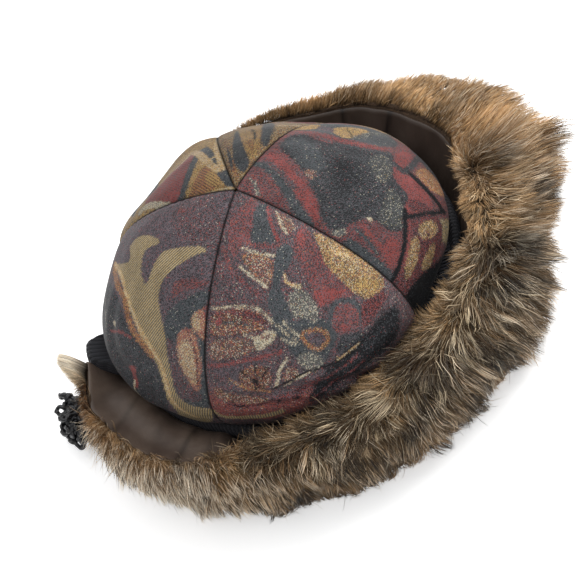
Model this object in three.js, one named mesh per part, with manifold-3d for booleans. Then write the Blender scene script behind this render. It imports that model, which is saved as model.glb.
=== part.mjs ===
// A domed crown of five jacquard gores, a black rib-knit band round the head opening,
// and a wide turned-up brim: dark satin towards the crown, deep fur outside.
// Millimetres, +Z up, front towards -Y. The hat stands on its lower edge at z = 0.
import * as THREE from 'three';
import { mergeVertices } from 'three/addons/utils/BufferGeometryUtils.js';
import Module from 'manifold-3d';

const wasm = await Module();
wasm.setup();

// Crown: half width and half length at its widest, that level, and the dome above it.
const CROWN_HALF_WIDTH = 94.5;
const CROWN_HALF_LENGTH = 112;
const WIDEST_LEVEL = 62;
const DOME_RISE = 90;
const DOME_POWER = 1.74; // 2 would be a true half ellipse, less is more pointed
const APEX_SHIFT = -4; // the gores meet a little in front of the middle
const CROWN_EDGE_LEVEL = 36;
const CROWN_TUCK = 0.085; // share of the radius lost from the widest level to the edge
const CLOTH = 2;
const SEAM_GAP = 0.36;
const SEAM_SINK = 1.2; // depth of the groove along a seam
const SEAM_SINK_WIDTH = 6;
const GORE_PUFF = 1.6;
const PUFF_FROM = 46; // level below which the crown is smooth, and full level of its puff
const PUFF_FULL = 74;
const GORE_STEP = 7.6; // degrees between two rows of points round the crown
const GORE_ROWS = [0.012, 0.06, 0.14, 0.24, 0.35, 0.47, 0.6, 0.74, 0.88, 1];
const EDGE_ROWS = [0.4, 0.75, 1]; // share of the way from the widest level to the edge
const TIP_ROUNDING = 0.5;
const TIP_TRIM = 0.3; // most of a gore's width that its two seam gaps may take at the tip
const DOME_ARC = 1.6; // length of the dome from top to widest level, in dome rises
const TOP_FADE = 3; // the seam grooves run out over the inner third of the outline
const TIP_FADE = 8; // the wall narrows over the inner eighth, where the gores come together

// Azimuths run from the front (-Y) towards +X, in degrees.
const SEAM_AZIMUTHS = [42, 84, 139, 229, 303.5];
const GORE_COLOURS = [0x8a7440, 0x7d5a3c, 0x4a4650, 0x5c4140, 0x4f4648];

// Soft dents in the crown: where (share of the way down the dome), how deep, how wide.
const DENTS = [
  { azimuth: 62, down: 0.62, depth: 2.6, width: 34 },
  { azimuth: 118, down: 0.5, depth: 2.2, width: 30 },
  { azimuth: 205, down: 0.82, depth: 2.4, width: 26 },
  { azimuth: 335, down: 0.6, depth: 1.8, width: 36 },
];

// Back gusset: the brim is open here and the knit band swells out between its two ends.
const GUSSET_AZIMUTH = 166;
const GUSSET_HALF = 5.5;
const GUSSET_SWELL = 13;
const GUSSET_SPREAD = 4.6;
const GUSSET_LIFT = 0.16; // share by which the gusset stands taller than the band
const GUSSET_STEPS = [2.5, 5, 8]; // finer steps of the band beside the gusset, in degrees

// Section of the knit band. `over` is the distance outside the crown's widest outline.
const BAND_SECTION = [
  { over: -13, level: 0 },
  { over: -6, level: 0 },
  { over: -4.6, level: 9 },
  { over: -1.8, level: 21 },
  { over: 3, level: 33 },
  { over: 4.4, level: 41 },
  { over: 2.4, level: 46.5 },
  { over: -0.6, level: 47.4 },
  { over: -2.2, level: 45.5 },
  { over: -7.6, level: 35.7 },
  { over: -13.4, level: 35.7 },
  { over: -14, level: 18 },
];
const BAND_ROLL_LEVEL = 41;
const BAND_STEPS = 46;
const ROLL_SQUEEZE = { azimuth: 300, spread: 42, share: 0.7 }; // where the brim presses it in

// Brim wall on the crown's side, from its lower fold to its top edge.
const LINING_SECTION = [
  { over: -5.5, level: 0.4 },
  { over: -4.3, level: 8 },
  { over: 2.6, level: 24 },
  { over: 11, level: 40.5 },
  { over: 20, level: 56 },
];
const LINING_THICKNESS = 1.6;
const LAYER_GAP = 0.3;
const END_MARGIN = 3; // degrees that the locks stay clear of the brim's ends
const HOLLOW_DEPTH = 40;
const BRIM_STEPS = 60;

// How far the brim leans out and how high it stands, as shares of the section above.
const BRIM_FORM = [
  { azimuth: 4, lean: 0.95, height: 1.04 },
  { azimuth: 16, lean: 1.2, height: 1 },
  { azimuth: 40, lean: 1.2, height: 1 },
  { azimuth: 60, lean: 0.85, height: 1 },
  { azimuth: 110, lean: 0.8, height: 0.92 },
  { azimuth: 157, lean: 0.6, height: 0.68 },
  { azimuth: 173, lean: 0.9, height: 0.98 },
  { azimuth: 190, lean: 1.35, height: 1 },
  { azimuth: 218, lean: 1.35, height: 1 },
  { azimuth: 240, lean: 0.95, height: 1.05 },
  { azimuth: 262, lean: 0.65, height: 1.1 },
  { azimuth: 300, lean: 0.5, height: 1.14 },
  { azimuth: 342, lean: 0.5, height: 1.12 },
];

// Folds in the satin: push towards the crown, width in degrees, slant in degrees of
// azimuth from the lower fold to the top edge.
const SATIN_FOLDS = [
  { azimuth: 30, push: 2.6, width: 3.6, slant: 2 },
  { azimuth: 46, push: 2.4, width: 3.6, slant: -2 },
  { azimuth: 190, push: 1.6, width: 5, slant: 14 },
  { azimuth: 206, push: 2.2, width: 4, slant: 12 },
  { azimuth: 217, push: -2.6, width: 3.5, slant: 3 },
  { azimuth: 228, push: 1.8, width: 5, slant: 10 },
];

const FOLD_FROM = 8; // distance outside the crown from which the folds have their full push
const FOLD_FOOT = 0.15; // share of a fold's swell already there at the lower fold
const FOLD_SHARE = 0.8;

// Outer form of the fur round the hat, outside the crown's widest outline.
const FUR_FORM = [
  { azimuth: 0, reach: 68, shoulder: 43, crest: 67, foot: 50 },
  { azimuth: 14, reach: 73, shoulder: 46, crest: 66, foot: 50 },
  { azimuth: 26, reach: 64, shoulder: 48, crest: 65, foot: 46 },
  { azimuth: 42, reach: 45, shoulder: 46, crest: 64, foot: 38 },
  { azimuth: 60, reach: 33, shoulder: 42, crest: 63, foot: 32 },
  { azimuth: 90, reach: 25, shoulder: 38, crest: 60, foot: 27 },
  { azimuth: 125, reach: 21, shoulder: 32, crest: 54, foot: 22 },
  { azimuth: 157, reach: 15, shoulder: 22, crest: 42, foot: 14 },
  { azimuth: 173, reach: 26, shoulder: 34, crest: 58, foot: 20 },
  { azimuth: 190, reach: 33, shoulder: 36, crest: 60, foot: 26 },
  { azimuth: 204, reach: 38, shoulder: 36, crest: 61, foot: 30 },
  { azimuth: 220, reach: 36, shoulder: 38, crest: 62, foot: 29 },
  { azimuth: 260, reach: 33, shoulder: 40, crest: 69, foot: 29 },
  { azimuth: 290, reach: 37, shoulder: 40, crest: 72, foot: 31 },
  { azimuth: 320, reach: 48, shoulder: 40, crest: 72, foot: 37 },
  { azimuth: 342, reach: 49, shoulder: 41, crest: 70, foot: 40 },
];

// Section of the fur outwards and down from its lip: share of the way out to the reach,
// share of the way in to the foot, and level as shares of the crest and the shoulder.
const PELT_THICKNESS = 2.5;
const FUR_LIP = 3;
const LIP_OUT = 0.04;
const FUR_SECTION = [
  { out: 0.24, toFoot: 0, crest: 1, shoulder: 0 },
  { out: 0.72, toFoot: 0, crest: 0.78, shoulder: 0.22 },
  { out: 1, toFoot: 0, crest: 0, shoulder: 1 },
  { out: 0.97, toFoot: 0, crest: 0, shoulder: 0.6 },
  { out: 1, toFoot: 0.5, crest: 0, shoulder: 0.22 },
  { out: 1, toFoot: 1, crest: 0, shoulder: 0 },
];

// Rows of fur locks. `place` runs over the fur from its crest (0) to its foot (1).
const LOCK_ROWS = [
  { place: 0.24, count: 22, length: 14, width: 19, rise: 10, droop: 0.25, comb: -16 },
  { place: 0.42, count: 26, length: 15, width: 22, rise: -30, droop: 0.15, comb: 8 },
  { place: 0.6, count: 26, length: 15, width: 22, rise: -46, droop: 0.1, comb: -8 },
  { place: 0.8, count: 22, length: 11, width: 20, rise: -28, droop: 0, comb: 12 },
];

// Ruff of locks that lean in towards the crown, where the brim stands close to it.
const RUFF = { from: 250, to: 346, count: 11, place: 0.13, length: 13, width: 17, rise: 66 };

// Long pale locks where the far end of the brim meets the gusset.
const END_LOCKS = [
  { azimuth: 158, place: 0.4, turn: 8, rise: 6, length: 26, width: 11 },
  { azimuth: 157, place: 0.55, turn: 4, rise: -10, length: 26, width: 12 },
  { azimuth: 158, place: 0.7, turn: 10, rise: -4, length: 24, width: 10 },
];
const LOCK_THICKNESS = 0.45; // of its width
const LOCK_SECTIONS = [
  { along: 0, size: 0.9 },
  { along: 0.55, size: 0.9 },
  { along: 1, size: 0.07 },
];
const LOCK_WANDER = { along: 0.5, comb: 26, rise: 16, length: 0.45, width: 0.3, place: 0.05 };
const LOCK_BACK = -0.4; // flat back of a lock, as a share of its thickness
const LOCK_ROOT = 6; // depth of a lock's root inside the fur
const RUFF_WANDER = { rise: 10, length: 0.4 };
const END_LOCK_DROOP = 0.1;
const LOCK_WIDTH_SHARES = { least: 0.8, growth: 0.3 };
const FRONT_LOCK_GROWTH = 1.3; // how much longer the locks are at the front
const FRONT_AZIMUTH = 8;
const FRONT_SPREAD = 30;
const THIN_AZIMUTH = 115; // the locks are shortest on this side
const THIN_SPREAD = 36;
const THIN_SHARE = 0.4;
const FLOOR_CLEARANCE = 1.5;
const FUR_SMOOTHING = 0.1; // flat spots finer than this are joined

// Nape tuft: a small knotted head lying against the fur, with yarn strips out of it.
const TUFT_HEAD = { azimuth: 176, over: 33, level: 17, half: [13, 7, 11] };
const TUFT_FACETS = { round: 8, tall: 5 };
const TUFT_STRIPS = 9;
const TUFT_LENGTH = { least: 0.75, growth: 0.35, full: 27 };
const TUFT_WIDTH = 6;
const TUFT_THICKNESS = 3.6;
const TUFT_SPREAD = 106; // degrees
const TUFT_RISE = { middle: 4, swing: 20, turn: 2.3 };
const TUFT_DROOP = 0.1;

const TURN = Math.PI / 180;

/** Repeatable number from 0 to 1 for a lock's small irregularities. */
function scatter(index, salt) {
  const value = Math.sin(index * 12.9898 + salt * 78.233) * 43758.5453;
  return value - Math.floor(value);
}

/** Value of one column of an azimuth table, eased from row to row round the hat. */
function roundTheHat(table, column, azimuth) {
  const angle = ((azimuth % 360) + 360) % 360;
  const last = table.length - 1;
  const next = table.findIndex((row) => row.azimuth > angle);
  const after = next < 0 ? table[0] : table[next];
  const before = next < 0 ? table[last] : table[(next + last) % table.length];
  const span = (after.azimuth - before.azimuth + 360) % 360;
  const share = ((angle - before.azimuth + 360) % 360) / span;
  const eased = share * share * (3 - 2 * share);
  return before[column] + (after[column] - before[column]) * eased;
}

/** Shortest way round from one azimuth to another. */
function apart(azimuth, other) {
  return ((azimuth - other + 540) % 360) - 180;
}

/** Point on the crown's widest outline moved `over` outwards, at a level. */
function onOutline(azimuth, over, level) {
  const angle = azimuth * TURN;
  return new THREE.Vector3(
    Math.sin(angle) * (CROWN_HALF_WIDTH + over),
    -Math.cos(angle) * (CROWN_HALF_LENGTH + over),
    level,
  );
}

/** Closed geometry from a run of equal loops; an open run gets an end cap at both ends. */
function sweep(loops, isRing) {
  const count = loops[0].length;
  const positions = loops.flat().flatMap((point) => [point.x, point.y, point.z]);
  const faces = [];
  const runs = isRing ? loops.length : loops.length - 1;
  for (let i = 0; i < runs; i += 1) {
    const here = i * count;
    const there = ((i + 1) % loops.length) * count;
    for (let k = 0; k < count; k += 1) {
      const next = (k + 1) % count;
      faces.push(here + k, there + k, there + next, here + k, there + next, here + next);
    }
  }
  if (!isRing) {
    faces.push(...capFaces(loops[0], 0, false));
    faces.push(...capFaces(loops.at(-1), (loops.length - 1) * count, true));
  }
  const geometry = new THREE.BufferGeometry();
  geometry.setAttribute('position', new THREE.Float32BufferAttribute(positions, 3));
  geometry.setIndex(faces);
  return facingOut(geometry);
}

/** Triangles that close one end loop, which stands upright on a line from the axis. */
function capFaces(loop, offset, reversed) {
  const flat = loop.map((point) => new THREE.Vector2(Math.hypot(point.x, point.y), point.z));
  const faces = THREE.ShapeUtils.triangulateShape([...flat], []);
  const area = (corners) => THREE.ShapeUtils.area(corners);
  const follows = Math.sign(area(faces[0].map((k) => flat[k]))) === Math.sign(area(flat));
  return faces.flatMap(([a, b, c]) => {
    const ordered = follows === reversed ? [a, c, b] : [a, b, c];
    return ordered.map((corner) => corner + offset);
  });
}

/** Volume inside a closed geometry, negative where its faces point inwards. */
function signedVolume(geometry) {
  const corner = [0, 1, 2].map(() => new THREE.Vector3());
  const index = geometry.index.array;
  let sum = 0;
  for (let i = 0; i < index.length; i += 3) {
    corner.forEach((point, k) => point.fromBufferAttribute(geometry.attributes.position, index[i + k]));
    sum += corner[0].dot(corner[1].clone().cross(corner[2])) / 6;
  }
  return sum;
}

/** The same geometry with its faces turned outwards. */
function facingOut(geometry) {
  if (signedVolume(geometry) < 0) {
    const index = Array.from(geometry.index.array);
    for (let i = 0; i < index.length; i += 3) {
      [index[i + 1], index[i + 2]] = [index[i + 2], index[i + 1]];
    }
    geometry.setIndex(index);
  }
  return geometry;
}

/** Solid for joining and cutting. */
function solidOf(geometry) {
  const bare = geometry.clone();
  bare.deleteAttribute('normal');
  bare.deleteAttribute('uv');
  const merged = mergeVertices(bare, 1e-4);
  return new wasm.Manifold(new wasm.Mesh({
    numProp: 3,
    vertProperties: Float32Array.from(merged.attributes.position.array),
    triVerts: Uint32Array.from(merged.index.array),
  }));
}

/** Geometry of a joined or cut solid. */
function geometryOf(solid) {
  const mesh = solid.getMesh();
  const geometry = new THREE.BufferGeometry();
  geometry.setAttribute('position', new THREE.Float32BufferAttribute(mesh.vertProperties, 3));
  geometry.setIndex(Array.from(mesh.triVerts));
  return geometry;
}

/** Named piece in its own finish. */
function piece(name, geometry, colour, roughness) {
  const finish = new THREE.MeshStandardMaterial({ color: colour, roughness, metalness: 0 });
  geometry.computeVertexNormals();
  const mesh = new THREE.Mesh(geometry, finish);
  mesh.name = name;
  return mesh;
}

/** Outline share and level of a row of the crown, down the dome and on to the tucked edge. */
function crownRow(down, below, inset) {
  if (below > 0) {
    const level = WIDEST_LEVEL - below * (WIDEST_LEVEL - CROWN_EDGE_LEVEL);
    return { share: 1 - CROWN_TUCK * below * below, level };
  }
  const angle = down * Math.PI / 2;
  return {
    share: Math.sin(angle) ** (2 / DOME_POWER),
    level: WIDEST_LEVEL + (DOME_RISE - inset) * Math.max(0, Math.cos(angle)) ** (2 / DOME_POWER),
  };
}

/** Point of a gore's cloth. `across` runs from 0 to 1 between its seams. */
function crownPoint(gore, across, down, below, inset) {
  const row = crownRow(down, below, inset);
  const radius = (CROWN_HALF_WIDTH + CROWN_HALF_LENGTH) / 2 * row.share;
  const trim = Math.min(TIP_TRIM * gore.span, SEAM_GAP / 2 / (radius + TIP_ROUNDING) / TURN);
  const azimuth = gore.start + trim + (gore.span - 2 * trim) * across;
  const toSeam = Math.min(across, 1 - across) * gore.span * TURN * radius;
  const fade = THREE.MathUtils.smoothstep(row.level, PUFF_FROM, PUFF_FULL);
  let swell = GORE_PUFF * Math.sin(Math.PI * across) * row.share;
  swell -= SEAM_SINK * Math.exp(-((toSeam / SEAM_SINK_WIDTH) ** 2)) * Math.min(1, row.share * TOP_FADE);
  for (const dent of DENTS) {
    const round = apart(azimuth, dent.azimuth) * TURN * radius;
    const along = (down - dent.down) * DOME_ARC * DOME_RISE;
    swell -= dent.depth * Math.exp(-(round * round + along * along) / dent.width ** 2);
  }
  swell *= fade;
  const steep = down * down;
  const point = onOutline(azimuth, 0, row.level + swell * (1 - steep));
  const thick = inset * Math.min(1, row.share * TIP_FADE);
  const outward = row.share + (swell * steep - thick) / CROWN_HALF_LENGTH;
  point.x *= outward;
  point.y = point.y * outward + APEX_SHIFT * Math.max(0, 1 - row.share) * (below > 0 ? 0 : 1);
  return point;
}

/** Lined cloth gore as one curved wall from the apex to the tucked lower edge. */
function goreGeometry(gore) {
  const rows = [
    ...GORE_ROWS.map((down) => ({ down, below: 0 })),
    ...EDGE_ROWS.map((below) => ({ down: 1, below })),
  ];
  const steps = Math.ceil(gore.span / GORE_STEP);
  const loops = Array.from({ length: steps + 1 }, (_, i) => {
    const face = (inset) => rows.map((row) => crownPoint(gore, i / steps, row.down, row.below, inset));
    return [...face(0), ...face(CLOTH).reverse()];
  });
  return sweep(loops, false);
}

/** Azimuths of the band's sections, closer together beside the gusset. */
function bandAzimuths() {
  const fine = GUSSET_STEPS.at(-1);
  const plain = Array.from({ length: BAND_STEPS }, (_, i) => (
    fine + (360 - 2 * fine) * i / (BAND_STEPS - 1)
  ));
  const near = GUSSET_STEPS.slice(0, -1);
  const steps = [0, ...near, ...plain, ...near.map((step) => 360 - step).reverse()];
  return steps.map((step) => GUSSET_AZIMUTH + step);
}

/** Rib-knit band: a soft ring whose roll stands outside the crown's lower edge. */
function bandGeometry() {
  const loops = bandAzimuths().map((azimuth) => {
    const swell = Math.exp(-((apart(azimuth, GUSSET_AZIMUTH) / GUSSET_SPREAD) ** 2));
    const nearness = Math.exp(-((apart(azimuth, ROLL_SQUEEZE.azimuth) / ROLL_SQUEEZE.spread) ** 2));
    const roll = 1 - ROLL_SQUEEZE.share * nearness;
    return BAND_SECTION.map(({ over, level }, k) => {
      const isOuter = k > 2 && k < 8;
      const out = isOuter ? swell * GUSSET_SWELL * Math.min(1, level / BAND_ROLL_LEVEL) : 0;
      const up = isOuter ? swell * GUSSET_LIFT * level : 0;
      return onOutline(azimuth, (over > 0 ? over * roll : over) + out, level + up);
    });
  });
  return sweep(loops, true);
}

/** Azimuths of the brim's sections, from one side of the gusset round to the other. */
function brimAzimuths() {
  const start = GUSSET_AZIMUTH + GUSSET_HALF;
  const span = 360 - 2 * GUSSET_HALF;
  return Array.from({ length: BRIM_STEPS + 1 }, (_, i) => start + span * i / BRIM_STEPS);
}

/** Points of the brim's inner face at one azimuth, pushed `out` from the satin's surface. */
function brimFace(azimuth, out) {
  const lean = roundTheHat(BRIM_FORM, 'lean', azimuth);
  const tall = roundTheHat(BRIM_FORM, 'height', azimuth);
  return LINING_SECTION.map(({ over, level }, k) => {
    const height = k / (LINING_SECTION.length - 1);
    let push = 0;
    for (const fold of SATIN_FOLDS) {
      const off = apart(azimuth, fold.azimuth + fold.slant * (height - 0.5)) / fold.width;
      push += fold.push * Math.exp(-off * off) * Math.sin(Math.PI * (FOLD_FOOT + FOLD_SHARE * height));
    }
    const away = over < 0 ? over : over * lean - push * Math.min(1, over / FOLD_FROM);
    return onOutline(azimuth, away + out, level * tall);
  });
}

/** Satin facing of the brim, on the side of the crown. */
function liningGeometry() {
  const loops = brimAzimuths().map((azimuth) => [
    ...brimFace(azimuth, 0),
    ...brimFace(azimuth, LINING_THICKNESS).reverse(),
  ]);
  return sweep(loops, false);
}

/** Outer face of the fur from its lip to its foot, as distances and levels. */
function furFace(azimuth) {
  const get = (column) => roundTheHat(FUR_FORM, column, azimuth);
  const [reach, shoulder, crest, foot] = ['reach', 'shoulder', 'crest', 'foot'].map(get);
  const top = LINING_SECTION.at(-1);
  const lip = top.over * roundTheHat(BRIM_FORM, 'lean', azimuth) + PELT_THICKNESS;
  const lipLevel = top.level * roundTheHat(BRIM_FORM, 'height', azimuth) + FUR_LIP;
  const crestLevel = Math.max(crest, lipLevel + FUR_LIP);
  const full = Math.max(reach, lip + FUR_LIP);
  const out = (share) => lip + (full - lip) * share;
  return [
    { over: out(LIP_OUT), level: lipLevel },
    ...FUR_SECTION.map((row) => ({
      over: THREE.MathUtils.lerp(out(row.out), foot, row.toFoot),
      level: crestLevel * row.crest + shoulder * row.shoulder,
    })),
  ];
}

/** Place on the outer face of the fur, from its crest (0) to its foot (1). */
function furPlace(azimuth, place) {
  const face = furFace(azimuth);
  const spot = place * (face.length - 1);
  const k = Math.min(face.length - 2, Math.floor(spot));
  const mix = (column) => THREE.MathUtils.lerp(face[k][column], face[k + 1][column], spot - k);
  return { over: mix('over'), level: mix('level') };
}

/** Flat-backed tapering strip of fur or yarn that bends as it leaves its root. */
function stripGeometry(root, heading, length, width, thickness, droop) {
  const side = new THREE.Vector3(0, 0, 1).cross(heading).normalize();
  const flat = heading.clone().cross(side).normalize();
  const loops = LOCK_SECTIONS.map(({ along, size }) => {
    const centre = root.clone().addScaledVector(heading, along * length);
    centre.z -= droop * length * along * along;
    const corner = (across, through) => centre.clone()
      .addScaledVector(side, across * size * width / 2)
      .addScaledVector(flat, through * size * thickness / 2);
    return [corner(1, LOCK_BACK), corner(0, 1), corner(-1, LOCK_BACK)];
  });
  const positions = loops.flat().flatMap((point) => [point.x, point.y, point.z]);
  const faces = [];
  for (let i = 0; i < loops.length - 1; i += 1) {
    for (let k = 0; k < 3; k += 1) {
      const a = i * 3 + k;
      const b = i * 3 + (k + 1) % 3;
      faces.push(a, b, b + 3, a, b + 3, a + 3);
    }
  }
  const end = (loops.length - 1) * 3;
  faces.push(0, 2, 1, end, end + 1, end + 2);
  const geometry = new THREE.BufferGeometry();
  geometry.setAttribute('position', new THREE.Float32BufferAttribute(positions, 3));
  geometry.setIndex(faces);
  return facingOut(geometry);
}

/** Direction at an azimuth, `rise` degrees above the level. */
function direction(azimuth, rise) {
  const level = Math.cos(rise * TURN);
  return new THREE.Vector3(
    Math.sin(azimuth * TURN) * level,
    -Math.cos(azimuth * TURN) * level,
    Math.sin(rise * TURN),
  );
}

/** One fur lock rooted in the fur at a place between its crest and its foot. */
function furLock(azimuth, place, heading, length, width, droop) {
  const spot = furPlace(azimuth, place);
  const root = onOutline(azimuth, spot.over, spot.level).addScaledVector(heading, -LOCK_ROOT);
  const whole = LOCK_ROOT + length;
  const free = root.z - FLOOR_CLEARANCE + heading.z * whole;
  if (free < 0) {
    heading.z = (FLOOR_CLEARANCE - root.z) / whole;
    heading.normalize();
  }
  const bend = Math.min(droop, Math.max(0, free / whole));
  return stripGeometry(root, heading, whole, width, width * LOCK_THICKNESS, bend);
}

/** Locks of one row, rooted in the fur and combed outwards. */
function lockRow(row, rowIndex) {
  const start = GUSSET_AZIMUTH + GUSSET_HALF + END_MARGIN;
  const span = 360 - 2 * (GUSSET_HALF + END_MARGIN);
  return Array.from({ length: row.count }, (_, i) => {
    const wander = (column, salt) => LOCK_WANDER[column] * (scatter(i, rowIndex + salt) - 0.5);
    const azimuth = start + span * (i + 0.5 + wander('along', 0)) / row.count;
    const front = Math.exp(-((apart(azimuth, FRONT_AZIMUTH) / FRONT_SPREAD) ** 2));
    const side = Math.abs(apart(azimuth, THIN_AZIMUTH));
    const full = THREE.MathUtils.smoothstep(side, THIN_SPREAD, 2 * THIN_SPREAD);
    const grown = (1 + FRONT_LOCK_GROWTH * front) * THREE.MathUtils.lerp(THIN_SHARE, 1, full);
    const heading = direction(azimuth + row.comb + wander('comb', 7), row.rise + wander('rise', 5));
    const length = row.length * grown * (1 + wander('length', 3));
    const broad = LOCK_WIDTH_SHARES.least + LOCK_WIDTH_SHARES.growth * grown;
    const width = row.width * (1 + wander('width', 11)) * broad;
    return furLock(azimuth, row.place + wander('place', 9), heading, length, width, row.droop);
  });
}

/** Locks that lean over the inner edge of the brim towards the crown. */
function ruffLocks() {
  return Array.from({ length: RUFF.count }, (_, i) => {
    const azimuth = RUFF.from + (RUFF.to - RUFF.from) * i / (RUFF.count - 1);
    const rise = RUFF.rise + RUFF_WANDER.rise * (scatter(i, 31) - 0.5);
    const length = RUFF.length * (1 + RUFF_WANDER.length * (scatter(i, 33) - 0.5));
    return furLock(azimuth, RUFF.place, direction(azimuth + 180, rise), length, RUFF.width, 0);
  });
}

/** The long locks at the brim's far end. */
function endLocks() {
  return END_LOCKS.map(({ azimuth, place, turn, rise, length, width }) => (
    furLock(azimuth, place, direction(azimuth + turn, rise), length, width, END_LOCK_DROOP)
  ));
}

/** Head of the nape tuft as a squashed ball, `grown` larger all round. */
function tuftHead(grown) {
  const geometry = new THREE.SphereGeometry(1, TUFT_FACETS.round, TUFT_FACETS.tall);
  const [across, through, tall] = TUFT_HEAD.half;
  geometry.scale(across + grown, through + grown, tall + grown);
  geometry.rotateZ((TUFT_HEAD.azimuth - 180) * TURN);
  const centre = onOutline(TUFT_HEAD.azimuth, TUFT_HEAD.over, TUFT_HEAD.level);
  geometry.translate(centre.x, centre.y, centre.z);
  return geometry;
}

/** Yarn strips that fan out of the tuft's head, away from the hat. */
function tuftStrips() {
  const centre = onOutline(TUFT_HEAD.azimuth, TUFT_HEAD.over, TUFT_HEAD.level);
  return Array.from({ length: TUFT_STRIPS }, (_, i) => {
    const fan = TUFT_SPREAD * (i / (TUFT_STRIPS - 1) - 0.5);
    const rise = TUFT_RISE.middle + TUFT_RISE.swing * Math.cos(i * TUFT_RISE.turn);
    const heading = direction(TUFT_HEAD.azimuth + fan, rise);
    const length = TUFT_LENGTH.full * (TUFT_LENGTH.least + TUFT_LENGTH.growth * scatter(i, 21));
    return stripGeometry(centre, heading, length, TUFT_WIDTH, TUFT_THICKNESS, TUFT_DROOP);
  });
}

/** Inner face of the pelt from its top edge down; it lies on the satin and meets the floor. */
function peltFace(azimuth) {
  const face = brimFace(azimuth, LINING_THICKNESS + LAYER_GAP);
  face[0].z = 0;
  return face.reverse();
}

/** Space inside the pelt's inner face, which the roots of the locks stay out of. */
function insideBrim() {
  const azimuths = brimAzimuths();
  const wider = [azimuths[0] - END_MARGIN, ...azimuths, azimuths.at(-1) + END_MARGIN];
  return sweep(wider.map((azimuth) => {
    const face = peltFace(azimuth);
    const top = face[0].z + LAYER_GAP;
    const lip = face[0].clone().setZ(top);
    return [lip, ...face, onOutline(azimuth, -HOLLOW_DEPTH, 0), onOutline(azimuth, -HOLLOW_DEPTH, top)];
  }), false);
}

/** Pelt and fur of the brim: a backing strip with its locks, seated round the tuft's head. */
function furGeometry() {
  const loops = brimAzimuths().map((azimuth) => [
    ...peltFace(azimuth),
    ...furFace(azimuth).map(({ over, level }) => onOutline(azimuth, over, level)).reverse(),
  ]);
  const backing = solidOf(sweep(loops, false));
  const locks = wasm.Manifold.union(
    [...LOCK_ROWS.flatMap(lockRow), ...ruffLocks(), ...endLocks()].map(solidOf),
  );
  const fur = backing.add(locks.subtract(solidOf(insideBrim())));
  const seated = fur.subtract(solidOf(tuftHead(LAYER_GAP)));
  const bodies = seated.decompose().sort((a, b) => b.volume() - a.volume());
  return geometryOf(bodies[0].simplify(FUR_SMOOTHING));
}

/** Nape tuft: head and strips as one body. */
function tuftGeometry() {
  return geometryOf(wasm.Manifold.union([tuftHead(0), ...tuftStrips()].map(solidOf)));
}

const hat = new THREE.Group();
SEAM_AZIMUTHS.forEach((start, i) => {
  const next = SEAM_AZIMUTHS[(i + 1) % SEAM_AZIMUTHS.length];
  const gore = { start, span: (next - start + 360) % 360 };
  hat.add(piece(`crown_gore_${i + 1}`, goreGeometry(gore), GORE_COLOURS[i], 0.85));
});
hat.add(piece('knit_band', bandGeometry(), 0x17181c, 0.9));
hat.add(piece('brim_lining', liningGeometry(), 0x3c312d, 0.45));
hat.add(piece('fur_brim', furGeometry(), 0x8d7760, 0.95));
hat.add(piece('nape_tuft', tuftGeometry(), 0x111114, 0.7));

// The hat's own point is under the middle of its box, on the surface that it stands on.
const box = new THREE.Box3().setFromObject(hat);
hat.position.set(-(box.min.x + box.max.x) / 2, -(box.min.y + box.max.y) / 2, -box.min.z);

const part = new THREE.Group();
part.add(hat);

export default part;
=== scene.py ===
"""Looks of a fur-brimmed jacquard hat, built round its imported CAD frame.

Sizes are in millimetres from the crown's own axis until a mesh is made; the mesh is in metres
in the frame. Azimuths run in degrees from the front (-Y) towards +X.
"""

import logging
import math
from dataclasses import dataclass
from enum import Enum
from typing import ClassVar

import bpy
from bpy.types import Material, NodeSocket, Object
import numpy as np
from numpy import ndarray
from numpy.random import Generator
from mathutils import Matrix, Vector
from mathutils.kdtree import KDTree


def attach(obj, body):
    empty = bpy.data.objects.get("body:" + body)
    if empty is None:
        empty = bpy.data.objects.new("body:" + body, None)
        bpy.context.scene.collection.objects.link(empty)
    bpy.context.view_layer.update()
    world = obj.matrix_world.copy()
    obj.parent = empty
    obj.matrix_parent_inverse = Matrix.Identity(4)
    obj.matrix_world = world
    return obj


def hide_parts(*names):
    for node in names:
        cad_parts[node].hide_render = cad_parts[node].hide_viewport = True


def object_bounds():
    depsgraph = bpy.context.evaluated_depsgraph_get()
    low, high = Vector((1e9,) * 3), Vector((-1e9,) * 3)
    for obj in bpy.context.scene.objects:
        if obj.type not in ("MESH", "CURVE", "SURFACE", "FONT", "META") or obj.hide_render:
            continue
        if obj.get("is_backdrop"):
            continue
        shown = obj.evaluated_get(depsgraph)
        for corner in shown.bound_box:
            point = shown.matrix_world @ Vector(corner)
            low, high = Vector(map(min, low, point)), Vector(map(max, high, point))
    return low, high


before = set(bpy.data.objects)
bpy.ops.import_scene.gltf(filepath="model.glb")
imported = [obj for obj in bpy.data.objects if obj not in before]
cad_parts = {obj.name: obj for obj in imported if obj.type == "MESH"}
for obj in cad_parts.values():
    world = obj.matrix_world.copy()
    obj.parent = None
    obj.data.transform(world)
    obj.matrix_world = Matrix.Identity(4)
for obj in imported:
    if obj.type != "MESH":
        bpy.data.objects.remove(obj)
CAD_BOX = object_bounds()
LOG = logging.getLogger("fur_hat")

MM = 0.001
TURN = math.pi / 180
AXIS = np.array([7.336, 16.740, 0.0])  # where the crown's axis stands in the frame
PICTURE = 580
SEED = 41

Rows = list[tuple[float, ...]]


class Slot(Enum):
    """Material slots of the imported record."""

    JACQUARD = "jacquard"
    RIB_KNIT = "rib_knit"
    SATIN = "satin"
    FUR = "fur"
    YARN = "yarn"


# Number helpers


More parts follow.
